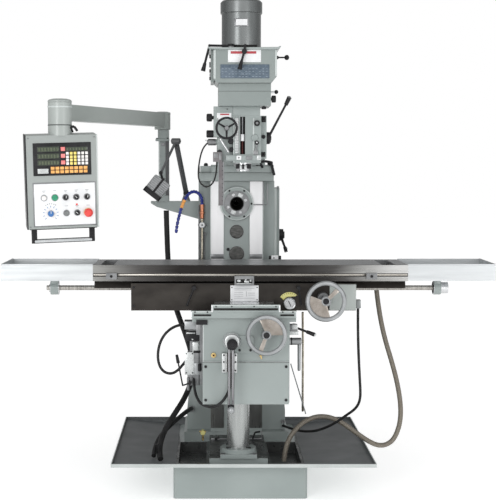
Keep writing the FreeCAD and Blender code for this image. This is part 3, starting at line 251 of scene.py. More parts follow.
def make_materials():
    paint_dark, paint_light = (0.255, 0.292, 0.284), (0.300, 0.338, 0.330)
    worn = (0.44, 0.47, 0.46)
    made = {"paint": finish("grey_green_paint", paint_dark, paint_light, (0.30, 0.44), scale=3.0, grain=(700,
        # the head's paint is the same grey-green made darker: painted shade on the gear and belt housings
        0.10, 0.0003), edge=worn, radius=0.003, coat=0.15), "shaded_head_paint": finish("shaded_head_paint", (0.205, 0.238,
        0.230), (0.245, 0.278, 0.270), (0.30, 0.44), scale=3.0, grain=(700, 0.08, 0.0002), edge=(0.38, 0.41,
        0.40), radius=0.003, coat=0.15), "light_paint": finish("light_grey_paint", (0.42, 0.44, 0.42), (0.50,
        0.52, 0.50), (0.32, 0.45), scale=4.0, grain=(700, 0.1, 0.0003), edge=(0.7, 0.7, 0.68), coat=0.15),
        "boom_paint": finish("boom_paint", (0.29, 0.32, 0.305), (0.35, 0.38, 0.365), (0.28, 0.42), scale=3.0,
        grain=(700, 0.1, 0.0003), edge=(0.6, 0.62, 0.6), coat=0.2), "pan": finish("pan_enamel", (0.085, 0.092,
        0.095), (0.11, 0.118, 0.122), (0.42, 0.55), scale=2.0, grain=(500, 0.12, 0.0003), edge=(0.3, 0.32,
        # the sump finish is dark oil on the casting together with painted shade inside the base opening
        0.31), radius=0.002), "sump": finish("oil_and_shade_casting", (0.018, 0.019, 0.019), (0.075, 0.08, 0.078), (0.2,
        0.5), scale=7.0, grain=(250, 0.35, 0.0008), edge=(0.2, 0.2, 0.2)), "way": finish("ground_way", (0.74,
        0.74, 0.75), (0.84, 0.84, 0.85), (0.34, 0.46), metal=0.35, scale=5.0, stretch=(3, 3, 0.5), grain=(160,
        0.18, 0.0002), edge=(0.85, 0.85, 0.85), radius=0.001), "table_top": finish("ground_table", (0.23, 0.237,
        0.243), (0.29, 0.297, 0.303), (0.30, 0.40), metal=0.8, scale=3.0, stretch=(0.5, 7, 7), grain=(160, 0.2,
        # table_front: painted reflection, dark across the middle of the table's front and lighter towards its
        # ends
        0.0002), edge=(0.75, 0.75, 0.74)), "table_front": graded("table_front", "X", [(-0.742, (0.24, 0.24,
        0.23)), (-0.52, (0.075, 0.072, 0.07)), (-0.30, (0.022, 0.020, 0.019)), (0.30, (0.020, 0.018, 0.017)),
        (0.52, (0.075, 0.072, 0.07)), (0.66, (0.30, 0.30, 0.29)), (0.858, (0.52, 0.52, 0.51))], (0.24, 0.4),
        (0.4, 8, 8)), "bright_groove": finish("bright_groove", (0.24, 0.225, 0.20), (0.44, 0.42, 0.385), (0.25,
        # the dark iron finish is near-black iron; on the saddle front this darkness is a painted dark
        # reflection on ground metal
        0.4), metal=0.8, scale=8.0, stretch=(0.5, 8, 8), radius=0.0008), "dark_iron": finish("dark_ground_iron",
        (0.024, 0.021, 0.019), (0.050, 0.045, 0.040), (0.28, 0.5), metal=0.55, scale=6.0, stretch=(1, 2, 2),
        grain=(300, 0.25, 0.0005), edge=(0.30, 0.29, 0.27)), "tray": finish("brushed_tray", (0.48, 0.50, 0.51),
        (0.60, 0.62, 0.63), (0.34, 0.46), metal=0.6, scale=5.0, stretch=(0.5, 8, 8), grain=(220, 0.15, 0.0002),
        edge=(0.9, 0.9, 0.9), radius=0.0012), "steel": finish("bright_steel", (0.55, 0.56, 0.57), (0.76, 0.77,
        0.78), (0.18, 0.34), metal=0.95, scale=12.0, grain=(300, 0.12, 0.0002), edge=(0.85, 0.85, 0.85),
        radius=0.0015), "dull_steel": finish("dull_steel", (0.16, 0.165, 0.17), (0.27, 0.275, 0.28), (0.32,
        0.5), metal=0.8, scale=14.0, grain=(350, 0.3, 0.0004), edge=(0.5, 0.5, 0.5), radius=0.0015),
        "aluminium": finish("satin_aluminium", (0.27, 0.283, 0.29), (0.40, 0.412, 0.42), (0.30, 0.42),
        metal=0.7, scale=10.0, grain=(380, 0.18, 0.0003), edge=(0.85, 0.85, 0.85), radius=0.0015),
        # the web finish's bronze tint is a painted reflection of warm surroundings on the wheels' webs
        "web": finish("web_reflection_tint", (0.20, 0.175, 0.15), (0.42, 0.385, 0.35), (0.24, 0.36), metal=0.9,
        scale=14.0, grain=(260, 0.2, 0.0003), edge=(0.8, 0.78, 0.74), radius=0.001),
        "motor": finish("motor_enamel", (0.15, 0.161, 0.161), (0.24, 0.252, 0.252), (0.22, 0.32), metal=0.9,
        scale=3.0, stretch=(4, 4, 0.6), grain=(600, 0.04, 0.0001), edge=(0.34, 0.35, 0.35)),
        "black": finish("black_enamel", (0.010, 0.010, 0.011), (0.022, 0.022, 0.024), (0.25, 0.42), scale=18.0,
        grain=(500, 0.2, 0.0003), edge=(0.10, 0.10, 0.10), radius=0.001), "rubber": finish("black_sheath",
        (0.010, 0.010, 0.010), (0.024, 0.024, 0.025), (0.38, 0.55), scale=20.0, grain=(700, 0.25, 0.0003),
        radius=0.0005), "braid": woven("braided_hose", (0.10, 0.085, 0.065), (0.36, 0.33, 0.28), 120.0),
        "blue": finish("blue_links", (0.010, 0.018, 0.16), (0.02, 0.035, 0.28), (0.28, 0.4), scale=30.0,
        grain=(500, 0.1, 0.0002), edge=(0.10, 0.14, 0.5), radius=0.0008), "orange": finish("orange_tap", (0.78,
        0.30, 0.05), (0.90, 0.42, 0.10), (0.3, 0.42), scale=30.0, grain=(500, 0.1, 0.0002)),
        "copper": finish("copper_fitting", (0.42, 0.16, 0.09), (0.60, 0.26, 0.15), (0.26, 0.4), metal=0.85,
        scale=30.0, edge=(0.8, 0.5, 0.35), radius=0.001), "brass": finish("brass", (0.50, 0.36, 0.14), (0.72,
        0.55, 0.26), (0.22, 0.36), metal=0.95, scale=30.0, edge=(0.9, 0.75, 0.45), radius=0.001),
        "red": finish("red_plastic", (0.62, 0.035, 0.03), (0.74, 0.06, 0.05), (0.25, 0.36), scale=25.0,
        grain=(500, 0.08, 0.0002), coat=0.3, edge=(0.85, 0.2, 0.18), radius=0.001),
        "green": finish("green_plastic", (0.01, 0.20, 0.10), (0.02, 0.30, 0.16), (0.25, 0.36), scale=25.0,
        grain=(500, 0.08, 0.0002), coat=0.3, radius=0.001), "blue_cap": finish("blue_plastic", (0.02, 0.10,
        0.30), (0.035, 0.16, 0.42), (0.25, 0.36), scale=25.0, grain=(500, 0.08, 0.0002), coat=0.3,
        radius=0.001), "white": finish("white_plastic", (0.70, 0.71, 0.72), (0.79, 0.80, 0.81), (0.3, 0.42),
        scale=20.0, grain=(500, 0.06, 0.0002), radius=0.0008), "plate_mark": finish("plate_mark", (0.30, 0.31,
        0.32), (0.40, 0.41, 0.42), (0.4, 0.5), scale=30.0), "chart": finish("chart_plate", (0.06, 0.09, 0.125),
        (0.11, 0.15, 0.195), (0.3, 0.45), metal=0.2, scale=40.0, stretch=(1, 1, 1.6), grain=(500, 0.06, 0.0002),
        edge=(0.4, 0.45, 0.5), radius=0.0008), "chart_line": finish("chart_line", (0.13, 0.17, 0.21), (0.24,
        0.29, 0.34), (0.35, 0.45), scale=30.0), "display": finish("display_window", (0.030, 0.040, 0.028),
        (0.05, 0.062, 0.045), (0.12, 0.2), scale=40.0, coat=0.5), "digit": finish("unlit_digit", (0.055, 0.075,
        0.04), (0.09, 0.11, 0.06), (0.3, 0.4), scale=60.0), "key_white": finish("white_key", (0.70, 0.68, 0.66),
        (0.85, 0.83, 0.82), (0.35, 0.45), scale=60.0), "key_yellow": finish("yellow_key", (0.75, 0.60, 0.12),
        (0.88, 0.74, 0.25), (0.35, 0.45), scale=60.0), "key_orange": finish("orange_key", (0.72, 0.33, 0.08),
        (0.88, 0.48, 0.15), (0.35, 0.45), scale=60.0), "key_pink": finish("pink_key", (0.70, 0.16, 0.16), (0.85,
        0.30, 0.28), (0.35, 0.45), scale=60.0), "yellow": finish("yellow_enamel", (0.60, 0.56, 0.18), (0.76,
        # the dark recess finish is painted shade inside holes, slots and vents and under the pendant case; on
        # the saddle it also marks dark seams
        0.72, 0.30), (0.35, 0.5), scale=40.0), "dark_hole": finish("dark_recess", (0.006, 0.006, 0.006), (0.018,
        0.017, 0.016), (0.4, 0.6), scale=30.0), "dark_red": finish("oiled_screw", (0.035, 0.010, 0.010), (0.085,
        0.028, 0.025), (0.25, 0.4), metal=0.5, scale=60.0, stretch=(1, 1, 6)),
        "purple_grey": finish("anodised_case", (0.13, 0.12, 0.125), (0.19, 0.18, 0.185), (0.3, 0.42), metal=0.5,
        scale=15.0, edge=(0.4, 0.4, 0.4), radius=0.001), "seam": finish("shadowed_seam", (0.06, 0.068, 0.066),
        # the lighter edge finish is painted highlight along the lit edges of painted castings
        (0.10, 0.11, 0.108), (0.5, 0.6), scale=30.0), "edge_highlight": finish("painted_edge_highlight", (0.44, 0.48,
        0.47), (0.52, 0.56, 0.55), (0.28, 0.4), scale=8.0, grain=(700, 0.1, 0.0003), edge=(0.75, 0.77, 0.76),
        radius=0.0015, coat=0.15), "bright_pad": finish("bright_pad", (0.48, 0.50, 0.50), (0.64, 0.66, 0.66),
        (0.22, 0.36), metal=0.5, scale=18.0, grain=(400, 0.15, 0.0002), edge=(0.9, 0.9, 0.9), radius=0.001),
        "badge": finish("motor_badge", (0.14, 0.145, 0.15), (0.24, 0.245, 0.25), (0.25, 0.35), metal=0.7,
        scale=30.0, edge=(0.6, 0.6, 0.6), radius=0.001), "dark_stripe": finish("plain_stripe", (0.36, 0.03,
        0.04), (0.45, 0.045, 0.055), (0.35, 0.45), scale=30.0), "plug": finish("turned_plug", (0.045, 0.045,
        0.043), (0.12, 0.12, 0.115), (0.35, 0.55), metal=0.5, scale=45.0, stretch=(1, 1, 3), grain=(350, 0.5,
        0.0006)), "coolant_pipe": finish("oiled_pipe", (0.22, 0.19, 0.14), (0.60, 0.56, 0.48), (0.2, 0.34),
        metal=0.85, scale=9.0, stretch=(8, 8, 0.6), radius=0.001), "crank_bar": finish("crank_bar", (0.20, 0.20,
        0.21), (0.30, 0.30, 0.31), (0.25, 0.36), metal=0.7, scale=20.0, stretch=(4, 4, 0.5), edge=(0.6, 0.6,
        0.6), radius=0.0015), "lamp_arm": finish("lamp_arm", (0.055, 0.057, 0.06), (0.085, 0.088, 0.092), (0.3,
        0.42), scale=12.0, edge=(0.25, 0.25, 0.25), radius=0.0015), "lamp_case": finish("lamp_case", (0.16,
        0.165, 0.17), (0.26, 0.265, 0.27), (0.3, 0.42), metal=0.6, scale=12.0, edge=(0.5, 0.5, 0.5),
        radius=0.0015), "pendant_front": finish("pendant_front", (0.265, 0.29, 0.28), (0.31, 0.335, 0.325),
        (0.36, 0.46), scale=3.0, grain=(700, 0.1, 0.0003), edge=(0.5, 0.52, 0.51)), "rim_lip": finish("pan_lip",
        (0.40, 0.43, 0.42), (0.50, 0.53, 0.52), (0.35, 0.48), scale=6.0, grain=(500, 0.12, 0.0003), edge=(0.7,
        # the low way finish is painted shade for the lower ends of the column ways
        0.72, 0.71), radius=0.0015), "low_way": finish("shaded_way", (0.095, 0.098, 0.094), (0.20, 0.205, 0.198),
        (0.25, 0.4), metal=0.6, scale=5.0, stretch=(4, 4, 0.6), grain=(250, 0.25, 0.0003)),
        "handle_bar": finish("handle_bar", (0.42, 0.44, 0.45), (0.58, 0.60, 0.61), (0.25, 0.35), metal=0.8,
        scale=6.0, stretch=(0.5, 8, 8), grain=(400, 0.06, 0.0001)), "screw_sleeve": finish("screw_sleeve",
        (0.30, 0.315, 0.31), (0.42, 0.435, 0.43), (0.20, 0.30), metal=0.85, scale=6.0, stretch=(3, 3, 0.3),
        grain=(400, 0.04, 0.00005)), "lens": finish("lamp_lens", (0.55, 0.56, 0.55), (0.70, 0.71, 0.70), (0.08,
        0.15), scale=30.0, coat=0.8), "thread": finish("thread", (0.20, 0.19, 0.17), (0.55, 0.53, 0.50), (0.25,
        0.4), metal=0.85, scale=400.0, stretch=(1, 0.02, 0.02), grain=(400, 0.6, 0.001)),}
    for name in ("black", "rubber", "dark_hole", "display", "dark_iron", "dark_red"):
        made[name].node_tree.nodes["Principled BSDF"].inputs["Specular IOR Level"].default_value = 0.2
    return made


mats = make_materials()


# ---------------------------------------------------------------- mesh helpers (millimetres in, metres out)

def place_mesh(name, bm, material, body, smooth=False, matrix=None):
    """Turns a bmesh in millimetres into a piece that rides on a body."""
    if matrix is not None:
        bmesh.ops.transform(bm, matrix=matrix, verts=bm.verts)
    bmesh.ops.scale(bm, vec=(MM, MM, MM), verts=bm.verts)
    bmesh.ops.recalc_face_normals(bm, faces=bm.faces)
    mesh = bpy.data.meshes.new(name)
    bm.to_mesh(mesh)
    bm.free()
    mesh.materials.append(mats[material])
    for face in mesh.polygons:
        face.use_smooth = smooth
    if smooth:
        mesh.set_sharp_from_angle(angle=math.radians(35))
    piece = bpy.data.objects.new(name, mesh)
    bpy.context.scene.collection.objects.link(piece)
    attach(piece, body)
    return piece


def add_block(bm, low, high, bevel=1.0, segments=2):
    """A block with rounded edges."""
    made = bmesh.ops.create_cube(bm, size=1.0)
    size = [b - a for a, b in zip(low, high)]
    middle = [(a + b) / 2 for a, b in zip(low, high)]
    bmesh.ops.scale(bm, vec=size, verts=made["verts"])
    bmesh.ops.translate(bm, vec=middle, verts=made["verts"])
    if bevel > 0:
        edges = list({edge for vert in made["verts"] for edge in vert.link_edges})
        bmesh.ops.bevel(bm, geom=edges, offset=min(bevel, min(size) * 0.45), segments=segments, affect="EDGES",
            profile=0.5)


def add_turned(bm, axis, outline, centre, segments=48):
    """A turned piece: outline is (radius, place along the axis), centre the other two coordinates."""
    across, up = centre
    rings = []
    for radius, along in outline:
        ring = []
        count = 1 if radius < 0.001 else segments
        for index in range(count):
            angle = TAU * index / segments
            a, b = radius * math.cos(angle), radius * math.sin(angle)
            if axis == "x":
                point = (along, across + a, up + b)
            elif axis == "y":
                point = (across + a, along, up + b)
            else:
                point = (across + a, up + b, along)
            ring.append(bm.verts.new(point))
        rings.append(ring)
    for first, second in zip(rings, rings[1:]):
        if len(first) == 1 and len(second) == 1:
            continue
        for index in range(segments):
            after = (index + 1) % segments
            if len(first) == 1:
                bm.faces.new((first[0], second[index], second[after]))
            elif len(second) == 1:
                bm.faces.new((first[index], first[after], second[0]))
            else:
                bm.faces.new((first[index], first[after], second[after], second[index]))


def add_bar(bm, start, end, radius, end_radius=None, segments=20, cap=0.4):
    """A round bar between two points, its ends chamfered."""
    start, end = Vector(start), Vector(end)
    way = end - start
    end_radius = radius if end_radius is None else end_radius
    turn = way.to_track_quat("Z", "Y").to_matrix()
    stages = [(0, radius * (1 - cap)), (radius * cap, radius), (way.length - end_radius * cap, end_radius),
        (way.length, end_radius * (1 - cap))]
    rings = []
    for along, size in stages:
        rings.append([bm.verts.new(start + turn @ Vector((size * math.cos(TAU * k / segments),
            size * math.sin(TAU * k / segments), along))) for k in range(segments)])
    for first, second in zip(rings, rings[1:]):
        for k in range(segments):
            after = (k + 1) % segments
            bm.faces.new((first[k], first[after], second[after], second[k]))
    bm.faces.new(list(reversed(rings[0])))
    bm.faces.new(rings[-1])


def add_prism(bm, outline, plane, low, high, bevel=0.0):
    """An outline extruded across its plane: "xz" along Y, "yz" along X, "xy" along Z."""
    def point(a, b, depth):
        return {"xz": (a, depth, b), "yz": (depth, a, b), "xy": (a, b, depth)}[plane]
    front = [bm.verts.new(point(a, b, low)) for a, b in outline]
    back = [bm.verts.new(point(a, b, high)) for a, b in outline]
    count = len(outline)
    faces = [bm.faces.new(front), bm.faces.new(list(reversed(back)))]
    for index in range(count):
        after = (index + 1) % count
        faces.append(bm.faces.new((front[index], back[index], back[after], front[after])))
    if bevel > 0:
        edges = list({edge for face in faces for edge in face.edges})
        bmesh.ops.bevel(bm, geom=edges, offset=bevel, segments=2, affect="EDGES", profile=0.5)


def block(name, low, high, material, body, bevel=1.5, matrix=None):
    bm = bmesh.new()
    add_block(bm, low, high, bevel)
    return place_mesh(name, bm, material, body, True, matrix)


def blocks(name, boxes, material, body, bevel=1.0, matrix=None):
    bm = bmesh.new()
    for low, high in boxes:
        add_block(bm, low, high, bevel)
    return place_mesh(name, bm, material, body, True, matrix)


def turned(name, axis, outline, centre, material, body, segments=48, matrix=None):
    bm = bmesh.new()
    add_turned(bm, axis, outline, centre, segments)
    return place_mesh(name, bm, material, body, True, matrix)


def bars(name, runs, material, body, matrix=None):
    """Round bars: runs are (start, end, radius) or (start, end, radius, end radius)."""
    bm = bmesh.new()
    for run in runs:
        add_bar(bm, *run)
    return place_mesh(name, bm, material, body, True, matrix)


def prism(name, outline, plane, low, high, material, body, bevel=1.0, matrix=None):
    bm = bmesh.new()
    add_prism(bm, outline, plane, low, high, bevel)
    return place_mesh(name, bm, material, body, True, matrix)


def cap_screws(name, places, axis, face, side, radius, height, body, material="black", matrix=None):
    """Socket-head screws: places are the two coordinates across the axis, side says which way they face."""
    bm = bmesh.new()
    for centre in places:
        add_turned(bm, axis, [(radius * 0.5, face), (radius, face), (radius, face + side * height * 0.8),
            (radius * 0.88, face + side * height), (radius * 0.52, face + side * height), (radius * 0.50,
            face + side * height * 0.3), (0, face + side * height * 0.3)], centre, 18)
    return place_mesh(name, bm, material, body, True, matrix)


def knob(name, axis, base, length, radius, centre, body, material="black", matrix=None):
    """A fluted knob with a stem."""
    bm = bmesh.new()
    step = length / 6
    add_turned(bm, axis, [(0, base), (radius * 0.45, base), (radius * 0.45, base + step), (radius * 0.95,
        base + step * 1.4), (radius, base + step * 2), (radius, base + step * 5), (radius * 0.86,
        base + step * 5.8), (0, base + length)], centre, 24)
    flutes = [vert for index, vert in enumerate(bm.verts) if index % 3 == 0]
    for vert in flutes:
        middle = {"x": (vert.co.x, *centre), "y": (centre[0], vert.co.y, centre[1]), "z": (*centre,
            vert.co.z)}[axis]
        vert.co = vert.co.lerp(Vector(middle), 0.07)
    return place_mesh(name, bm, material, body, True, matrix)


def paint_faces(node, material, test):
    """Gives some of a CAD node's faces another finish: test(centre, normal) in millimetres."""
    mesh = nodes[node].data
    mesh.materials.append(mats[material])
    index = len(mesh.materials) - 1
    for face in mesh.polygons:
        if test(face.center / MM, face.normal):
            face.material_index = index


def dress(node, material):
    """One finish for a whole CAD node."""
    mesh = nodes[node].data
    mesh.materials.clear()
    mesh.materials.append(mats[material])
    for face in mesh.polygons:
        face.material_index = 0


# ---------------------------------------------------------------- cords

def evaluated_mesh(piece):
    """A curve's shape as a mesh: its tube, or its line alone when it has no thickness."""
    bpy.context.view_layer.update()
    return bpy.data.meshes.new_from_object(piece.evaluated_get(bpy.context.evaluated_depsgraph_get()))


def cord(name, points, diameter, material, body, replaces=None,
        lifted=None):
    """A free cord on a smooth line through its route's control points.

    lifted, when given, bakes the cord into a plain mesh that rides on no body; the heights in it are not used."""
    curve = bpy.data.curves.new(name, "CURVE")
    curve.dimensions = "3D"
    curve.resolution_u = 10
    curve.bevel_depth = diameter / 2 * MM
    curve.bevel_resolution = 5
    curve.use_fill_caps = True
    spline = curve.splines.new("NURBS")
    spline.points.add(len(points) - 1)
    for point, place in zip(spline.points, points):
        point.co = (place[0] * MM, place[1] * MM, place[2] * MM, 1)
    spline.order_u = 3
    spline.use_endpoint_u = True
    curve.materials.append(mats[material])
    piece = bpy.data.objects.new(name, curve)
    bpy.context.scene.collection.objects.link(piece)
    line = None
    if lifted:
        tube = evaluated_mesh(piece)
        curve.bevel_depth = 0
        line = [list(vertex.co) for vertex in evaluated_mesh(piece).vertices]
        bpy.data.objects.remove(piece)
        for face in tube.polygons:
            face.use_smooth = True
        piece = bpy.data.objects.new(name, tube)
        bpy.context.scene.collection.objects.link(piece)
        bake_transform(piece)
    else:
        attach(piece, body)
    if replaces:
        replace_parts(piece, replaces)
    return piece


def make_cords():
    cord("head_cable_run", [(-156.5, -415.5, 1817), (-177, -420, 1800), (-194, -436, 1759), (-204, -455, 1706),
        (-208, -468, 1655), (-203, -475, 1623), (-187, -480, 1600), (-166, -480, 1590), (-144, -477, 1598),
        (-128, -471, 1618), (-118, -462, 1650), (-113, -455, 1686), (-113, -450, 1717)], 8, "rubber", "head",
        "head_cable")
    cord("clamp_hose_run", [(-279.5, -520, 893), (-312, -521, 888), (-346, -523, 872), (-377, -526, 845), (-400,
        -529, 806), (-412, -531, 760), (-413, -532, 712), (-401, -532, 671), (-375, -531, 645), (-340, -529,
        640), (-310, -526, 658), (-287, -522, 684), (-269, -520, 707)], 14, "rubber", "knee", "knee_hoses")
    cord("crank_hose_run", [(-39, -692, 676), (-41, -695, 640), (-49, -698, 600), (-65, -701, 560), (-90, -702,
        526), (-122, -699, 504), (-158, -688, 502), (-195, -668, 513), (-216, -632, 541), (-227, -594, 580),
        (-231, -564, 620)], 14, "rubber", "knee", "knee_hoses")
    cord("power_hose_run", [(-391, 120, 1447), (-390, 121, 1390), (-387, 122, 1300), (-384, 122, 1200), (-374,
        112, 1060), (-338, 75, 900), (-280, 22, 760), (-240, -50, 640), (-245, -130, 530), (-285, -200, 445),
        (-335, -262, 378), (-380, -325, 318), (-406, -390, 260), (-411, -450, 216), (-402, -502, 192)], 30,
        "rubber", "machine", "power_hoses")
    cord("sump_hose_run", [(-250, 66, 336), (-252, 20, 347), (-268, -45, 350), (-300, -115, 338), (-342, -185,
        316), (-383, -252, 290), (-418, -318, 258), (-438, -380, 220), (-440, -436, 192)], 24, "rubber",
        "machine", "power_hoses")
    cord("table_hose_run", [(740, -205, 1113), (740, -205, 1060), (749, -207, 985), (765, -210, 880), (790,
        -215, 770), (822, -224, 665), (849, -235, 565), (868, -246, 465), (874, -254, 378), (864, -262, 306),
        (836, -268, 240), (796, -273, 211), (750, -277, 208), (702, -281, 230), (652, -284, 264), (600, -281,
        302), (548, -274, 338), (486, -266, 362), (420, -276, 366), (356, -300, 346), (304, -323, 306), (268,
        -332, 254), (250, -340, 196), (243, -344, 140)], 26, "braid", "machine",
        "table_hose", lifted=(420, 1050))
    cord("saddle_cable_run", [(612, -470, 969), (612, -470, 900), (614, -472, 800), (618, -475, 700), (623,
        -478, 610), (627, -478, 550), (628, -472, 505), (620, -458, 466), (600, -432, 432), (566, -396, 398),
        (520, -346, 350), (468, -286, 306), (412, -212, 270), (356, -122, 250), (306, -24, 242), (264, 66,
        240)], 14, "rubber", "machine", "saddle_cable", lifted=(380, 930))


# ---------------------------------------------------------------- finishes of the CAD pieces

def hung_frame():
    """The pendant's own frame: under the boom's neck, turned and leaning towards the operator."""
    return (Matrix.Translation((-855, -906, 1849)) @ Matrix.Rotation(math.radians(12.5), 4,
        "Z") @ Matrix.Rotation(math.radians(6), 4, "X") @ Matrix.Rotation(math.radians(-1.7), 4, "Y"))


def dress_nodes():
    plain = {"paint": ("base_casting", "column_casting", "column_side_cover", "spindle_flange", "rear_motor",
        "pendant_post", "knee_casting", "knee_cover", "screw_pedestal", "turret_casting", "ram", "head_housing",
        # the gear and belt housings take the darker head paint, which is painted shade
        "feed_box", "way_wipers"), "shaded_head_paint": ("gear_housing", "belt_housing"), "pan": ("chip_pan",),
        "dull_steel": ("bore_plugs", "stop_dogs", "lubricator"), "steel": ("horizontal_spindle",
        "elevating_screw", "drive_nut", "quill", "vertical_spindle", "table_leadscrew"),
        "black": ("spindle_speed_lever", "knee_lock_lever", "lube_lever", "table_lock_left", "table_lock_right",
        "speed_lever", "brake_lever", "hilo_lever", "knee_crank", "feed_handwheel", "quill_lever"),
        # the saddle's dark iron is partly a painted dark reflection
        "dark_iron": ("saddle_casting", "knee_fittings"), "table_top": ("machine_table",),
        "tray": ("end_trays",), "motor": ("head_motor",), "boom_paint": ("pendant_boom", "pendant_box"),
        "coolant_pipe": ("coolant_line",), "lamp_arm": ("lamp_lower_arm", "lamp_upper_arm"),
        "lamp_case": ("lamp_head",), "aluminium": ("cross_handwheel", "traverse_handwheel"),
        "red": ("estop_button",), "green": ("start_button",), "blue_cap": ("speed_knob",),
        "purple_grey": ("head_scales",), "white": ("saddle_fittings",),}
    for material, members in plain.items():
        for member in members:
            dress(member, material)
    paint_faces("column_casting", "way", lambda c,
        n: 70 < abs(c.x) < 143 and c.y < 68 and c.z < 1614 and c.z > 240 and c.y < 12)
    paint_faces("screw_pedestal", "screw_sleeve", lambda c, n: c.z > 246 and Vector((c.x,
        c.y + 440)).length < 60)
    # the faces inside the base's front opening and its upward faces take the sump finish: oil and painted shade
    paint_faces("base_casting", "sump", lambda c,
        n: c.z < 163 and -312 < c.x < 327 and -482 < c.y < -8 and abs(n.z) < 2 and c.z > 20)
    paint_faces("base_casting", "sump", lambda c, n: n.z > 0.5 and c.z > 120 and c.y < -8)
    paint_faces("chip_pan", "paint", lambda c, n: n.z < -0.1 or c.z > 205)
    # the table's front face takes the painted reflection of the table_front finish
    paint_faces("machine_table", "table_front", lambda c, n: n.y < -0.7 and c.y < -520)
    paint_faces("machine_table", "dark_iron", lambda c, n: -520 < c.y < -510)
    paint_faces("machine_table", "dark_iron", lambda c, n: c.z < 1116 or (1150 < c.z < 1190 and n.z > 0.5))
    paint_faces("saddle_casting", "light_paint", lambda c, n: c.x > 597 and n.x > 0.5)
    paint_faces("knee_casting", "steel", lambda c, n: n.z > 0.7 and c.z > 1000)
    paint_faces("knee_casting", "dark_iron", lambda c, n: c.y > -6)
    paint_faces("chip_pan", "rim_lip", lambda c,
        n: c.z > 188 and (c.y < -664 or abs(n.z) > 0.7 and c.z > 205 or abs(c.x - 22) > 667))
    # painted shade in the head's front slot
    paint_faces("head_housing", "dark_hole", lambda c, n: 5.5 < c.x < 31.5 and c.y > -459 and 1756 < c.z < 1948)
    paint_faces("head_scales", "dark_red", lambda c, n: c.x > 5 and c.z < 1824)
    paint_faces("head_scales", "white", lambda c, n: c.x > 5 and 1823.9 < c.z < 1859)
    paint_faces("head_scales", "dull_steel", lambda c, n: c.x > 5 and c.z >= 1859)
    paint_faces("feed_box", "dull_steel", lambda c, n: c.x < -129.2)
    paint_faces("knee_fittings", "paint", lambda c, n: c.x > 90 and c.z > 830 and c.x < 200 or 4 < c.x < 72)
    paint_faces("knee_fittings", "aluminium", lambda c, n: c.x > 240)
    # painted shade down the spindle's taper bore
    paint_faces("horizontal_spindle", "dark_hole", lambda c, n: c.y > -31 and math.hypot(c.x,
        c.z - 1490) < 34.95)
    paint_faces("horizontal_spindle", "dull_steel", lambda c, n: c.y < -31 and math.hypot(c.x, c.z - 1490) > 35)
    paint_faces("horizontal_spindle", "bright_pad", lambda c, n: c.y < -33)
    paint_faces("table_leadscrew", "thread", lambda c,
        n: abs(n.x) < 0.5 and abs(c.z - 1062) < 14 and abs(c.y + 345) < 14)
    paint_faces("saddle_fittings", "dull_steel", lambda c, n: c.z > 1090.5 or c.x > 400)
    paint_faces("saddle_fittings", "dark_iron", lambda c, n: 220 < c.x < 290 and c.z > 1029.5)
    local = hung_frame().inverted()
    paint_faces("pendant_box", "black", lambda c, n: (local @ Vector(c)).z < -446)
    paint_faces("pendant_post", "dull_steel", lambda c, n: c.x > -310 and c.z > 1505)


# ---------------------------------------------------------------- small pieces

def orb(name, centre, radius, material, body, matrix=None):
    steps = [(radius * math.sin(math.pi * k / 10),
        centre[2] - radius * math.cos(math.pi * k / 10)) for k in range(11)]
    return turned(name, "z", steps, centre[:2], material, body, 28, matrix)


# ---------------------------------------------------------------- handwheels

def wheel(name, centre, rim, fan, spoke_turn, body, node):
    """A satin rim, a dished ring, one broad fan web with a narrow spoke across from it, and a dark hub."""
    def at(radius, degrees):
        angle = math.radians(degrees)
        return centre[0] + radius * math.cos(angle), centre[1] + radius * math.sin(angle)

    first, last = fan
    outside = [at(88, first + (last - first) * k / 12) for k in range(13)]
    inside = [at(19, last + (first - last) * k / 6) for k in range(7)]
    pieces = [turned(name + "_rim", "y", [(80, rim - 3), (81, rim - 8), (86, rim - 12.4), (96, rim - 12),
        (100.5, rim - 7), (102, rim), (100.5, rim + 7), (96, rim + 12), (86, rim + 12.4), (81, rim + 8), (80,
        rim + 3), (80, rim - 3)], centre, "aluminium", body, 72), turned(name + "_dish", "y", [(83.5, rim - 2),
        (87, rim - 3.5), (87, rim + 6), (83.5, rim + 5), (83.5, rim - 2)], centre, "dull_steel", body, 72),
        # the web and spoke take the web finish, whose bronze tint is painted reflection
        prism(name + "_web", outside + inside, "xz", rim - 3, rim + 5, "web", body, 1.2), prism(name + "_spoke",
        [at(86, spoke_turn - 8), at(86, spoke_turn + 8), at(19, spoke_turn + 27), at(19, spoke_turn - 27)],
        "xz", rim - 4, rim + 5, "web", body, 1.5), turned(name + "_hub", "y", [(14, rim - 5), (18, rim - 6),
        (23, rim - 3), (26, rim + 2), (26, rim + 30), (23, rim + 33), (12, rim + 33), (12, rim - 4), (14,
        rim - 5)], centre, "aluminium", body, 40), turned(name + "_nut", "y", [(0, rim - 12), (9, rim - 12),
        (11, rim - 10), (15, rim - 9), (16, rim - 4), (16, rim + 2), (0, rim + 2)], centre, "black", body, 24),]
    shaft_end = cad_box_of(node)
    pieces.append(turned(name + "_shaft", "y", [(0, rim + 28), (12, rim + 28), (12, shaft_end - 1), (11,
        shaft_end), (0, shaft_end)], centre, "steel", body, 32))
    for piece in pieces:
        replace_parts(piece, node)


def cad_box_of(node):
    """How far back a CAD node reaches, in millimetres."""
    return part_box(node)[1][1] / MM


# ---------------------------------------------------------------- head

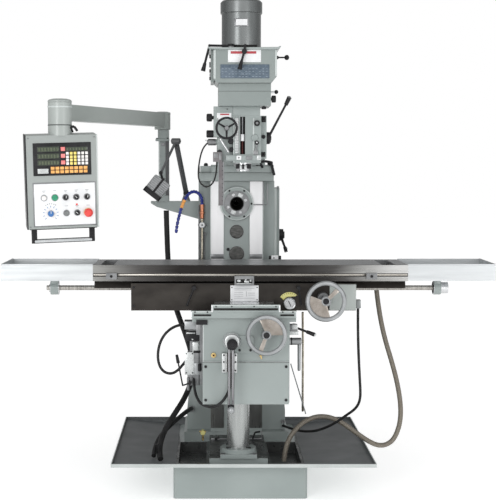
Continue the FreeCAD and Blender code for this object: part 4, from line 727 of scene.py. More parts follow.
def make_head():
    head = "head"
    block("plain_plate", (-58, -528, 2216), (108, -524.5, 2278), "white", head, 0.8)
    block("plain_plate_stripe", (-44, -529, 2258), (84, -527.6, 2270), "dark_stripe", head, 0.3)
    block("chart_plate", (-95, -528, 2136), (150, -524.5, 2205), "chart", head, 0.8)
    rows = [((-92, -528.8, z), (147, -527.6, z + 1)) for z in (2139, 2152, 2165, 2178, 2190, 2201)]
    columns = [((x, -528.8, 2139), (x + 1, -527.6, 2202)) for x in range(-92, 150, 17)]
    cells = [((x + 3, -528.6, z + 3), (x + 13, -527.6, z + 8)) for column, x in enumerate(range(-92, 140,
        17)) for row, z in enumerate((2139, 2152, 2165, 2178)) if (column * 3 + row * 5) % 4]
    blocks("chart_grid", rows + columns + cells, "chart_line", head, 0)
    cap_screws("plate_rivets", [(x, z) for x in (-53, 103) for z in (2221, 2273)], "y", -528, -1, 2, 1.4, head,
        "steel")
    block("motor_badge", (-24, -447.2, 2402), (48, -437, 2444), "badge", head, 1.2)
    block("motor_badge_face", (-16, -448, 2408), (42, -446.5, 2439), "white", head, 0.6)
    cap_screws("badge_rivets", [(x, z) for x in (-20, 44) for z in (2406, 2440)], "y", -447, -1, 1.8, 1.2, head,
        "steel")
    turned("motor_foot_band", "z", [(100, 2281), (103, 2281), (103, 2287), (101, 2289), (100, 2289)], (14,
        -345), "motor", head, 96)
    turned("motor_cap_seam", "z", [(100, 2473), (105, 2473), (105, 2475.5), (100, 2475.5)], (14, -345), "motor",
        head, 96)
    # painted shade in the motor vent's slots and behind them
    blocks("motor_vent", [((-28 + k * 10, -450, 2289), (-20 + k * 10, -436, 2309)) for k in range(12)],
        "dark_hole", head, 0.8)
    block("motor_vent_back", (-30, -446, 2287), (92, -434, 2311), "black", head, 2)
    prism("belt_top_lip", [(-158, 2291), (-150, 2282), (-122, 2279), (182, 2279), (198, 2284), (208, 2294),
        (204, 2296), (190, 2290), (-144, 2288), (-156, 2295)], "xz", -536, -118, "paint", head, 0.8)
    # painted highlights along the belt housing's front edges
    block("belt_left_strip", (-130, -527.5, 2134), (-118, -523, 2277), "edge_highlight", head, 1.5)
    block("belt_right_strip", (178, -527.5, 2148), (188, -523, 2277), "edge_highlight", head, 1.5)
    cap_screws("side_plate_screws", [(-450, z) for z in (2140, 2178, 2212, 2250)], "x", -144, -1, 9, 7, head,
        "black")
    blocks("side_plate_catches", [((-152, -466, 2196), (-143, -440, 2222)), ((-150, -466, 2150), (-143, -444,
        2166))], "dull_steel", head, 2)
    block("gear_seam", (-105.7, -500.7, 2072.2), (160.7, -199.3, 2073.9), "seam", head, 0)
    block("gear_top_seam", (-106, -501, 2112.5), (161, -199, 2115), "seam", head, 0)
    bars("range_ball_stem", [((158, -470, 2070), (184, -470, 2071), 5)], "steel", head)
    orb("range_ball", (188, -470, 2071), 10.5, "black", head)
    knob("gear_shift_knob", "x", 159, 29, 18, (-458, 2036), head)
    knob("under_knob", "z", 2001, -17, 12, (126, -462), head)
    block("head_top_flange", (-31, -462, 1951), (108, -452, 2001), "paint", head, 2.5)
    # painted highlights along the head's front edges
    block("head_left_rib", (-29, -463, 1716), (-24, -455, 1948), "edge_highlight", head, 1.5)
    block("head_right_rib", (70, -463, 1754), (78, -456, 1940), "edge_highlight", head, 1.5)
    # feed box
    block("feed_plate", (-113, -463.5, 1933), (-39, -459.5, 1966), "white", head, 0.6)
    block("feed_plate_stripe", (-96, -464.3, 1955), (-50, -463, 1962), "dark_stripe", head, 0.2)
    cap_screws("feed_plate_screws", [(-109, 1937), (-43, 1937), (-60, 1985)], "y", -461, -1, 3, 3.4, head)
    knob("feed_select_knob", "x", -129, -37, 20, (-440, 1943), head)
    bars("feed_rod", [((-97, -470, 1838), (-52, -470, 1765), 5.5)], "steel", head)
    knob("feed_trip_knob", "y", -446, -26, 15, (-42, 1822), head)
    knob("feed_low_knob", "y", -438, -26, 13, (-38, 1781), head)
    knob("feed_corner_knob", "y", -438, -24, 14, (-99, 1766), head)
    turned("feed_upper_cap", "x", [(0, -166), (15, -166), (19, -162), (19, -130), (0, -130)], (-412, 1861),
        "black", head, 28)
    turned("feed_lower_cap", "x", [(0, -162), (9, -162), (17, -156), (17, -118), (0, -118)], (-415, 1819),
        "dull_steel", head, 28)
    bars("feed_lower_stub", [((-172, -415, 1828), (-158, -415, 1826), 3)], "steel", head)
    # quill front
    turned("front_knob", "y", [(0, -480), (8, -480), (9, -476), (15, -475), (15, -462), (10, -459), (0, -459)],
        (91, 1914), "black", head, 24)
    turned("front_knob_face", "y", [(0, -482), (6, -482), (7, -479.5), (0, -479.5)], (91, 1914), "dull_steel",
        head, 20)
    orb("lock_ball", (90, -478, 1815), 11, "black", head)
    turned("lock_ball_glint", "y", [(0, -490.5), (4, -489.5), (5, -487), (0, -486)], (90, 1816), "steel", head,
        16)
    bars("lock_stem", [((89, -476, 1808), (84, -468, 1772), 4)], "dull_steel", head)
    block("lock_foot", (74, -472, 1754), (96, -459, 1776), "dull_steel", head, 2)
    turned("lock_boss", "y", [(0, -466), (16, -466), (18, -463), (18, -459), (0, -459)], (80, 1840), "paint",
        head, 32)
    cap_screws("flange_screws", [(126, 1936), (125, 1757), (126, 1846)], "y", -425, -1, 10, 9, head)
    # painted shade in the flange's holes
    blocks("flange_dark_pads", [((116, -428, 1920), (138, -424, 1950)), ((114, -428, 1744), (136, -424, 1768))],
        "dark_hole", head, 1)
    block("quill_bar", (-66, -470, 1724), (112, -459, 1752), "paint", head, 2)
    block("quill_bar_white", (-13, -480, 1728), (12, -466, 1750), "white", head, 2)
    block("quill_bar_dark", (36, -474, 1729), (68, -466, 1748), "dull_steel", head, 1.5)
    block("quill_bar_end", (90, -476, 1727), (112, -466, 1752), "bright_pad", head, 2)
    cap_screws("quill_bar_screw", [(-1, 1739)], "y", -480, -1, 3.4, 3, head)
    blocks("scale_marks", [((-18, -464.4, z), (-4, -462.8, z + 1)) for z in range(1770, 1936, 8)], "black",
        head, 0)
    block("scale_strip_back", (-19, -463.4, 1762), (-3, -461, 1939), "bright_pad", head, 0.6)
    blocks("scale_head_label", [((-128, -472.2, 1738), (-108, -469.5, 1762)), ((-102, -472.2, 1728), (-90,
        -469.5, 1764))], "dull_steel", head, 0.6)
    cap_screws("scale_holes", [(-84, z) for z in range(1520, 1710, 22)], "y", -462, -1, 2.6, 1.2, head)
    blocks("scale_beam_lip", [((-82, -466, 1496), (-76, -461, 1719)), ((-105, -466, 1496), (-101, -461, 1719))],
        "dull_steel", head, 0.8)
    # spindle nose
    blocks("nose_clamps", [((-15, -402, 1683), (6, -372, 1707)), ((42, -402, 1683), (64, -372, 1707)), ((18,
        -404, 1681), (28, -392, 1706))], "black", "quill_sleeve", 3)
    blocks("nose_flats", [((5, -397, 1676), (19, -380, 1704)), ((28, -397, 1676), (44, -380, 1704))],
        "bright_pad", "quill_sleeve", 3)
    turned("quill_cap", "y", [(0, -812), (12, -812), (14, -808), (0, -806)], (-39, 830), "black", "lift_crank",
        24)
    # levers
    turned("brake_hub_ring", "z", [(15, 2290), (17, 2292), (17, 2298), (15, 2300)], (-42, -470), "dull_steel",
        "brake", 28)
    turned("feed_wheel_cap", "y", [(0, -556), (9, -556), (12, -553), (13, -548), (0, -548)], (-64, 1887),
        "dull_steel", "feed_wheel", 24)
    turned("quill_hub_face", "x", [(0, 168.5), (10, 168.5), (12, 166), (0, 165.5)], (-385, 1840), "dull_steel",
        "quill_feed_lever", 24)
    bars("quill_lever_tip", [((255, -442, 2042), (259, -444.5, 2050), 12, 9)], "dull_steel", "quill_feed_lever")


# ---------------------------------------------------------------- column and turret

def make_column():
    fixed = "machine"
    blocks("way_end_bands", [((-141.2, -1.4, 1186), (-71.8, 1, 1212)), ((71.8, -1.4, 1186), (141.2, 1, 1212))],
        "dull_steel", fixed, 0.6)
    # painted highlights along the edges of the column ways
    blocks("way_edges", [((-146, -0.8, 1186), (-141, 5, 1613)), ((141, -0.8, 1186), (146, 5, 1613)), ((-72,
        -0.8, 1262), (-70, 4, 1560)), ((70, -0.8, 1262), (72, 4, 1560))], "edge_highlight", fixed, 1)
    bars("oil_pipes", [((147, -4, 1625), (147, -4, 1484), 2.6), ((147, -4, 1484), (90, -22, 1484), 2.6), ((168,
        -4, 1600), (168, -4, 1484), 2.6), ((168, -4, 1484), (147, -4, 1484), 2.6)], "dull_steel", fixed)
    block("sight_block", (190, -26, 1180), (228, -8, 1206), "white", fixed, 2)
    blocks("sight_block_ends", [((176, -24, 1178), (190, -8, 1204)), ((228, -24, 1178), (244, -8, 1204))],
        "black", fixed, 2)
    turned("sight_eye", "y", [(0, -27.5), (4, -27.5), (5, -25), (0, -25)], (204, 1193), "dull_steel", fixed, 16)
    # painted highlight along the side cover's edge
    block("side_cover_edge", (213, 176.5, 906), (229, 180.8, 1570), "edge_highlight", fixed, 2)
    block("side_cover_seam", (209, 177.5, 905), (213, 181, 1571), "dull_steel", fixed, 0.5)
    turned("side_cover_top_stop", "y", [(0, 168), (6, 168), (7, 172), (7, 181), (0, 181)], (236, 1576),
        "dull_steel", fixed, 16)
    cap_screws("flange_cap_screws", [(81.3 * math.cos(TAU * k / 6),
        1490 + 81.3 * math.sin(TAU * k / 6)) for k in range(6)], "y", -14, -1, 6, 4, fixed)
    # painted highlight on the spindle flange's rim
    turned("flange_edge", "y", [(86.5, -20.6), (90.5, -19.6), (92.4, -17), (92.4, -2), (91, -2)], (0, 1490),
        "edge_highlight", fixed, 72)
    turned("nose_seat", "y", [(64.4, -24), (70, -24), (71, -20), (64.4, -20)], (0, 1490), "dull_steel", fixed,
        64)
    turned("nose_bore", "y", [(34.6, -32.4), (37, -33.2), (38.5, -32.4), (34.6, -30)], (0, 1490), "black",
        "arbor_spindle", 56)
    for name, height, radius in (("upper_plug", 1335, 38), ("lower_plug", 1213, 42)):
        turned(name + "_rings", "y", [(0, 1.4)] + [(radius * k / 8, 1.2 + 0.7 * (k % 2)) for k in range(1,
            8)] + [(radius - 1, 3), (0, 3)], (0, height), "plug", fixed, 56)
    turned("plug_screw", "y", [(0, 1), (5, 1), (9, 2.6), (9, 6), (0, 6)], (-47, 1238), "black", fixed, 20)
    block("cap_seam", (-209, -41, 1612), (202, -38, 1614.4), "seam", fixed, 0)
    block("turret_seam", (-201, -61, 1659.3), (200, -30, 1661.2), "seam", "turret", 0)
    block("turret_front_seam", (-141.6, -61, 1695), (200, -59, 1697), "seam", "turret", 0)
    block("turret_end_dark", (-209.5, -38, 1628), (-203, 20, 1694), "black", "turret", 1.5)
    turned("lug_knob", "z", [(0, 1696), (11, 1696), (12, 1703), (8, 1711), (0, 1713)], (-169, -16), "black",
        "turret", 24)
    bars("turret_clamps", [((100, -66, 1712), (150, -70, 1722), 9, 6), ((150, -70, 1722), (184, -72, 1716), 7),
        ((184, -72, 1716), (201, -76, 1645), 7, 8), ((126, -64, 1708), (140, -66, 1686), 6, 7)], "black",
        "turret")
    turned("clamp_bolt_left", "z", [(0, 1698), (14, 1698), (14, 1714), (11, 1720), (0, 1720)], (112, -52),
        "black", "turret", 6)
    turned("clamp_bolt_right", "z", [(0, 1698), (15, 1698), (15, 1716), (11, 1722), (0, 1722)], (180, -50),
        "black", "turret", 6)
    bars("speed_lever_boss", [((270, 260, 1302), (279, 260, 1302), 22, 18)], "dull_steel", "arbor_speed_lever")
    cap_screws("speed_lever_pin", [(240, 1226)], "x", 292, 1, 5, 4, "arbor_speed_lever", "bright_pad")


# ---------------------------------------------------------------- coolant line

def make_coolant():
    fixed = "machine"
    places = [(-190, 52, 1480), (-192, 50, 1515), (-204, 37, 1541), (-226, 12, 1556), (-251, -19, 1554), (-273,
        -50, 1534), (-290, -77, 1502), (-304, -98, 1462), (-316, -113, 1418), (-325, -123, 1375), (-330, -128,
        1335)]
    line = [Vector(place) for place in places]
    steps = []
    for first, second in zip(line, line[1:]):
        steps += [first.lerp(second, k / 8) for k in range(8)]
    steps.append(line[-1])
    bm, taps, walked = bmesh.new(), bmesh.new(), 0.0
    start = steps[0]
    count = 0
    for here, after in zip(steps, steps[1:]):
        walked += (after - here).length
        if walked >= 17:
            target = taps if 11 <= count <= 13 else bm
            add_bar(target, start, start.lerp(after, 0.94), 9.6 if target is bm else 10.2, 7.2, 20, 0.3)
            start, walked, count = after, 0.0, count + 1
    add_bar(bm, steps[-3], steps[-1], 8, 4.5, 20, 0.2)
    pieces = [place_mesh("coolant_links", bm, "blue", fixed, True), place_mesh("coolant_tap", taps, "orange",
        fixed, True), turned("coolant_coupling", "z", [(0, 1404), (8, 1404), (11, 1408), (11, 1432), (14, 1434),
        (14, 1442), (11, 1444), (11, 1474), (12.5, 1476), (12.5, 1483), (8, 1484), (0, 1484)], (-190, 52),
        "copper", fixed, 28), turned("coolant_pipe", "z", [(0, 700), (6.5, 700), (6.5, 1392), (10, 1394), (10,
        1404), (0, 1404)], (-190, 52), "coolant_pipe", fixed, 24), turned("coolant_valve", "y", [(0, 30), (13,
        30), (16, 34), (16, 44), (12, 48), (12, 60), (0, 60)], (-190, 1370), "white", fixed, 28),
        turned("coolant_valve_eye", "y", [(0, 27.6), (5, 27.6), (6.5, 29.5), (6.5, 31), (0, 31)], (-190, 1370),
        "dull_steel", fixed, 20), bars("coolant_valve_handle", [((-174, 40, 1370), (-166, 40, 1370), 5), ((-214,
        40, 1370), (-204, 40, 1370), 4), ((-176, 45, 1330), (-168, 45, 1312), 4)], "dull_steel", fixed),
        bars("coolant_conduit", [((-207, 66, 700), (-207, 66, 1480), 5), ((-178, 64, 700), (-178, 64, 1330),
        3.5)], "dull_steel", fixed),]
    for piece in pieces:
        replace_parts(piece, "coolant_line")


# ---------------------------------------------------------------- knee

def make_knee():
    knee = "knee"
    cap_screws("cover_screws", [(x, z) for x in (-169, 231) for z in (535, 703)], "y", -682, -1, 7, 4.5, knee)
    block("cover_top_edge", (-184.6, -683.4, 722), (246, -676, 725.4), "seam", knee, 0.4)
    # painted highlights along the knee cover's top edge and the knee's left edge
    block("cover_light_edge", (-184.4, -683, 725), (246, -677, 727.6), "edge_highlight", knee, 0.6)
    block("knee_left_edge", (-183.5, -677.5, 728), (-178, -672, 924), "edge_highlight", knee, 1.5)
    cap_screws("gear_cap_screws", [(-1, 841), (-1, 786), (54, 786)], "y", -684, -1, 6.5, 4, knee)
    prism("gear_cap_plate", [(-22, 772), (62, 772), (72, 782), (72, 846), (60, 858), (8, 858), (-22, 850)],
        "xz", -684.5, -676, "paint", knee, 1.2)
    turned("crank_ring", "y", [(17, -701.5), (30, -702.5), (37, -700), (44, -690), (45, -684), (45, -676), (17,
        -676)], (-39, 830), "bright_pad", knee, 48)
    turned("crank_ring_groove", "y", [(36.5, -701.3), (38.5, -700), (39, -696)], (-39, 830), "dull_steel", knee,
        48)
    blocks("guard_plates", [((-88.6, -702.6, 676.5), (-63.5, -682, 772.5)), ((-34.5, -702.6, 676.5), (-13.4,
        -682, 772.5))], "bright_pad", knee, 2)
    cap_screws("guard_screws", [(x, z) for x in (-79, -21) for z in (687, 730, 764)], "y", -702, -1, 4.5, 4,
        knee)
    turned("sight_plug", "y", [(0, -687), (6, -687), (7, -685), (12, -684.5), (13, -682), (13, -676), (0,
        -676)], (-130, 760), "brass", knee, 28)
    turned("sight_glass", "y", [(0, -688), (4.5, -687.6), (5, -686), (0, -686)], (-130, 760), "dark_red", knee,
        20)
    bars("drain_cock", [((104, -676, 757), (104, -694, 757), 6), ((104, -692, 760), (108, -692, 742), 3.4),
        ((96, -690, 766), (110, -690, 768), 3.6)], "brass", knee)
    block("lube_manifold", (-216, -686, 913), (-160, -662, 936), "black", knee, 2)
    block("lube_manifold_stem", (-216, -684, 862), (-196, -664, 914), "dull_steel", knee, 2)
    cap_screws("wiper_screws", [(x, 1006) for x in (-118, -40, 70, 178)] + [(x, 978) for x in (-222, -160, 212,
        262)], "y", -702 + 0, -1, 3.5, 2.5, knee)
    blocks("wiper_ends", [((-141, -703.5, 978), (-134, -676, 1013)), ((193, -703.5, 978), (200, -676, 1013)),
        ((-243, -701.5, 950), (-236, -676, 982)), ((276, -701.5, 950), (283, -676, 982))], "white", knee, 2)
    # painted shade in the wiper slots
    blocks("wiper_slots", [((-128, -704, 987), (188, -701, 998)), ((-228, -702, 958), (-142, -699, 967)), ((200,
        -702, 958), (268, -699, 967))], "dark_hole", knee, 0.4)
    # painted highlights along the wiper lips
    blocks("wiper_lips", [((-137, -703.4, 1008), (196, -700, 1013.6)), ((-238, -701.4, 977), (-140, -698,
        982.6)), ((199, -701.4, 977), (278, -698, 982.6))], "edge_highlight", knee, 0.8)
    # lubricator
    block("lube_head_face", (-276, -558.5, 873), (-202, -555, 912), "aluminium", knee, 1)
    blocks("lube_gearbox_face", [((-271, -556, 812), (-199, -550, 862))], "black", knee, 3)
    blocks("lube_gearbox_trim", [((-268, -558, 850), (-222, -555, 856)), ((-240, -558, 818), (-232, -555,
        824))], "bright_pad", knee, 1)
    block("lube_tank_face", (-276, -559, 640), (-228, -554, 756), "bright_pad", knee, 1.5)
    block("lube_tank_low", (-228, -558, 640), (-198, -554, 700), "aluminium", knee, 1.5)
    cap_screws("lube_tank_screws", [(-268, 748), (-236, 748), (-268, 650), (-236, 650)], "y", -559, -1, 3.5, 3,
        knee)
    block("lube_neck_face", (-236, -559, 756), (-206, -554, 806), "bright_pad", knee, 1)
    block("lube_neck_band", (-232, -562, 752), (-196, -556, 764), "black", knee, 1.5)
    bars("lube_stub", [((-258, -560, 628), (-258, -560, 560), 7), ((-238, -560, 628), (-238, -560, 600), 5)],
        "dull_steel", knee)
    bars("lube_fittings", [((-278, -520, 893), (-290, -520, 893), 9), ((-262, -520, 701), (-270, -520, 709),
        8.5), ((-200, -572, 700), (-200, -572, 660), 9)], "black", knee)
    # table clamp and drain on the right
    block("clamp_shelf_face", (248, -551, 842), (302, -547, 861), "bright_pad", knee, 1.5)
    blocks("clamp_body", [((250, -552, 861), (296, -520, 897)), ((246, -554, 846), (256, -540, 880))],
        "dull_steel", knee, 3)
    block("clamp_body_glint", (268, -554, 872), (298, -550, 896), "bright_pad", knee, 2)
    turned("clamp_drum_face", "x", [(0, 249), (18.5, 249), (18.5, 318), (15, 320), (0, 320)], (-500, 803),
        "aluminium", knee, 36)
    turned("clamp_drum_ring", "x", [(18.4, 266), (19.6, 266), (19.6, 272), (18.4, 272)], (-500, 803), "black",
        knee, 36)
    bars("clamp_rod", [((309, -500, 796), (309, -500, 652), 9, 8)], "aluminium", knee)
    bars("drain_tube", [((327, -486, 952), (333, -440, 780), 6), ((333, -440, 780), (338, -380, 600), 6), ((338,
        -380, 600), (344, -310, 400), 6)], "coolant_pipe", knee)
    bars("drain_wire", [((262, -560, 697), (353, -400, 406), 3.2)], "aluminium", knee)
    orb("knee_lock_end", (386, -520, 840), 9, "bright_pad", "knee_clamp")
    turned("knee_lock_hub_cap", "z", [(0, 897), (8, 897), (10, 893), (0, 892)], (280, -520), "bright_pad",
        "knee_clamp", 20)
    # crank
    blocks("crank_bar_faces", [((-59.4, -788, 530), (-48.8, -784, 806)), ((-41.2, -788, 530), (-30.8, -784,
        806))], "crank_bar", "lift_crank", 1.5)
    turned("crank_hub_face", "y", [(0, -809), (10, -809), (12, -807.5), (0, -806)], (-39, 830), "dark_hole",
        "lift_crank", 20)
    orb("crank_ball_glint", (-45, -846, 518), 17.4, "aluminium", "lift_crank")


# ---------------------------------------------------------------- saddle and table

def make_saddle():
    saddle = "saddle"
    block("saddle_plate", (-43.5, -504, 1008.5), (100.5, -499, 1090.5), "white", saddle, 1)
    marks = [((-24, -505, z), (-24 + width, -503.6, z + 1.6)) for z, width in ((1074, 104), (1066, 88), (1054,
        46), (1044, 46), (1034, 46), (1024, 104))]
    blocks("saddle_plate_marks", marks + [((38, -505, 1034), (40, -503.6, 1060)), ((46, -505, 1050), (82,
        -503.6, 1052)), ((46, -505, 1040), (82, -503.6, 1042))], "plate_mark", saddle, 0)
    blocks("stop_frame", [((-23, -536, 1134), (75, -527, 1142)), ((-23, -536, 1099), (75, -527, 1105)), ((-23,
        -536, 1099), (-16, -527, 1142)), ((68, -536, 1099), (75, -527, 1142))], "bright_pad", saddle, 1.5)
    # painted shade inside the stop frame
    block("stop_inside", (-16, -534, 1105), (68, -526, 1134), "dark_hole", saddle, 0.5)
    blocks("stop_rollers", [((-9, -537, 1110), (7, -528, 1124)), ((26, -537, 1107), (50, -528, 1118)), ((30,
        -537, 1118), (38, -528, 1128)), ((54, -537, 1112), (64, -528, 1126))], "bright_pad", saddle, 2)
    cap_screws("saddle_plate_screws", [(-36, 1080), (93, 1080), (-36, 1017), (93, 1017)], "y", -504, -1, 3, 2.4,
        saddle)
    turned("gauge_case", "y", [(25.5, -521.5), (28, -522.5), (30.5, -520), (30.5, -500), (25.5, -500)], (258,
        999), "steel", saddle, 48)
    turned("gauge_face", "y", [(0, -520.4), (26, -520.4), (26, -518), (0, -518)], (258, 999), "white", saddle,
        48)
    ticks = bmesh.new()
    for k in range(11):
        angle = math.radians(225 - 27 * k)
        add_bar(ticks, (258 + 19 * math.cos(angle), -520.8, 999 + 19 * math.sin(angle)),
            (258 + 23.5 * math.cos(angle), -520.8, 999 + 23.5 * math.sin(angle)), 0.8, None, 8)
    add_bar(ticks, (251, -521.8, 1014), (265, -521.8, 984), 2.2, 1.4, 8)
    place_mesh("gauge_marks", ticks, "black", saddle, True)
    arc = [(258 + radius * math.cos(math.radians(angle)),
        999 + radius * math.sin(math.radians(angle))) for radius, angles in ((57, range(48, 153, 7)), (34,
        range(152, 47, -7))) for angle in angles]
    prism("rule_plate", arc, "xz", -504, -499, "yellow", saddle, 0.6)
    bars("rule_marks", [((258 + 48 * math.cos(a), -504.2, 999 + 48 * math.sin(a)), (258 + 54 * math.cos(a),
        -504.2, 999 + 54 * math.sin(a)), 0.9) for a in (math.radians(60 + 12 * k) for k in range(7))], "black",
        saddle)
    turned("clamp_nut_left", "y", [(0, -543), (11, -543), (13, -540), (13, -536), (0, -536)], (-229, 1080),
        "black", "left_table_clamp", 6)
    turned("clamp_nut_right", "y", [(0, -543), (11, -543), (13, -540), (13, -536), (0, -536)], (302, 1080),
        "black", "right_table_clamp", 6)
    turned("saddle_boss_face", "y", [(13, -563.5), (25, -563.5), (28.5, -560), (28.5, -505), (13, -505)], (426,
        1030), "dull_steel", saddle, 40)
    cap_screws("saddle_corner_screws", [(-536, 1080), (-536, 985), (584, 985), (584, 1080)], "y", -500, -1, 6,
        4, saddle)
    blocks("saddle_seams", [((-551, -501.2, 1100), (599, -498, 1102)), ((-128, -501.2, 1000), (176, -498,
        1001.5))], "dark_hole", saddle, 0)
    block("saddle_end_cover", (462, -505, 963), (598, -500, 1096), "boom_paint", saddle, 2)
    blocks("gauge_top_block", [((268, -512, 1024), (286, -500, 1034))], "black", saddle, 2)
    block("cable_plug_face", (600, -485, 972), (625, -483, 1012), "motor", saddle, 1.5)
    table = "table"
    threads = bmesh.new()
    for low, high in ((-976, -560), (864, 1016)):
        place = low
        while place < high:
            add_turned(threads, "x", [(12.6, place), (13.2, place + 1.2), (13.2, place + 2.6), (12.6,
                place + 4)], (-345, 1062), 20)
            place += 5
    place_mesh("leadscrew_threads", threads, "thread", table, True)
    for name, left, right in (("left_bracket", -980, -935), ("right_bracket", 1018, 1058)):
        turned(name + "_boss", "x", [(14, left), (33, left), (36, left + 3), (36, right - 3), (33, right), (14,
            right)], (-345, 1062), "paint", table, 40)
        block(name + "_web", (left + 3, -372, 1066), (right - 3, -318, 1116), "paint", table, 4)
        cap_screws(name + "_screws", [(-345 + 24 * math.cos(a), 1062 + 24 * math.sin(a)) for a in (0.8, 2.4,
            3.9, 5.5)], "x", left if left < 0 else right, -1 if left < 0 else 1, 4, 4, table)
    blocks("tray_rolls", [((-1208.5, -527, 1194), (-1203, -163, 1202)), ((1298, -527, 1194), (1303.5, -163,
        1202)), ((-1207, -528, 1195), (-743, -523, 1202)), ((859, -528, 1195), (1302, -523, 1202))], "tray",
        table, 2)
    block("groove_line", (-741, -519.4, 1141.5), (857, -517.2, 1150), "bright_groove", table, 0.3)
    blocks("slot_shadow", [((-742.4, y - 9, 1177), (-741.4, y + 9, 1196)) for y in (-445, -345, -245)],
        "dark_hole", table, 0)
    cap_screws("dog_bolts", [(-647, 1140), (671, 1140)], "y", -543, -1, 7, 5, table)


# ---------------------------------------------------------------- base and pan

def make_base():
    fixed = "machine"
    # painted shade: dark strips laid over the column ways below 700 mm
    blocks("low_way_shade", [((-143, -1.6, 242), (-70, 1, 700)), ((70, -1.6, 242), (143, 1, 700))], "low_way",
        fixed, 0.5)
    blocks("pan_bars", [((-141, -104, 198), (-43, -96, 207)), ((67, -104, 200), (138, -96, 208)), ((134, -104,
        200), (140, -96, 246))], "dull_steel", fixed, 2)
    bars("pan_hooks", [((86, -104, 204), (100, -104, 240), 5), ((100, -104, 240), (128, -110, 246), 5), ((-120,
        -104, 204), (-96, -110, 214), 6)], "black", fixed)
    blocks("pedestal_screw_seats", [((x - 12, -534, 222), (x + 12, -510, 226)) for x in (-80, 80)],
        "dull_steel", fixed, 2)
    cap_screws("pedestal_screws", [(68 * math.cos(a) - 0, -440 + 68 * math.sin(a)) for a in (0.6, 2.55, 3.75,
        5.7)], "z", 243, 1, 8, 7, fixed)
    turned("wing_valve", "y", [(0, -165), (12, -165), (15, -158), (15, -140), (0, -140)], (-185, 250), "yellow",
        fixed, 24)
    bars("wing_valve_stem", [((-185, -150, 205), (-185, -150, 240), 6), ((-205, -160, 258), (-168, -160, 258),
        5)], "brass", fixed)
    bars("foot_pipe", [((-420, -470, 206), (-420, -470, 262), 4), ((-428, -470, 258), (-412, -470, 262), 5)],
        "black", fixed)
    cap_screws("hose_glands", [(-250, 336)], "y", 66, -1, 17, 8, fixed, "dull_steel")
    cap_screws("cable_gland", [(264, 264)], "y", 68, -1, 11, 7, fixed, "dull_steel")


# ---------------------------------------------------------------- pendant, boom and lamp

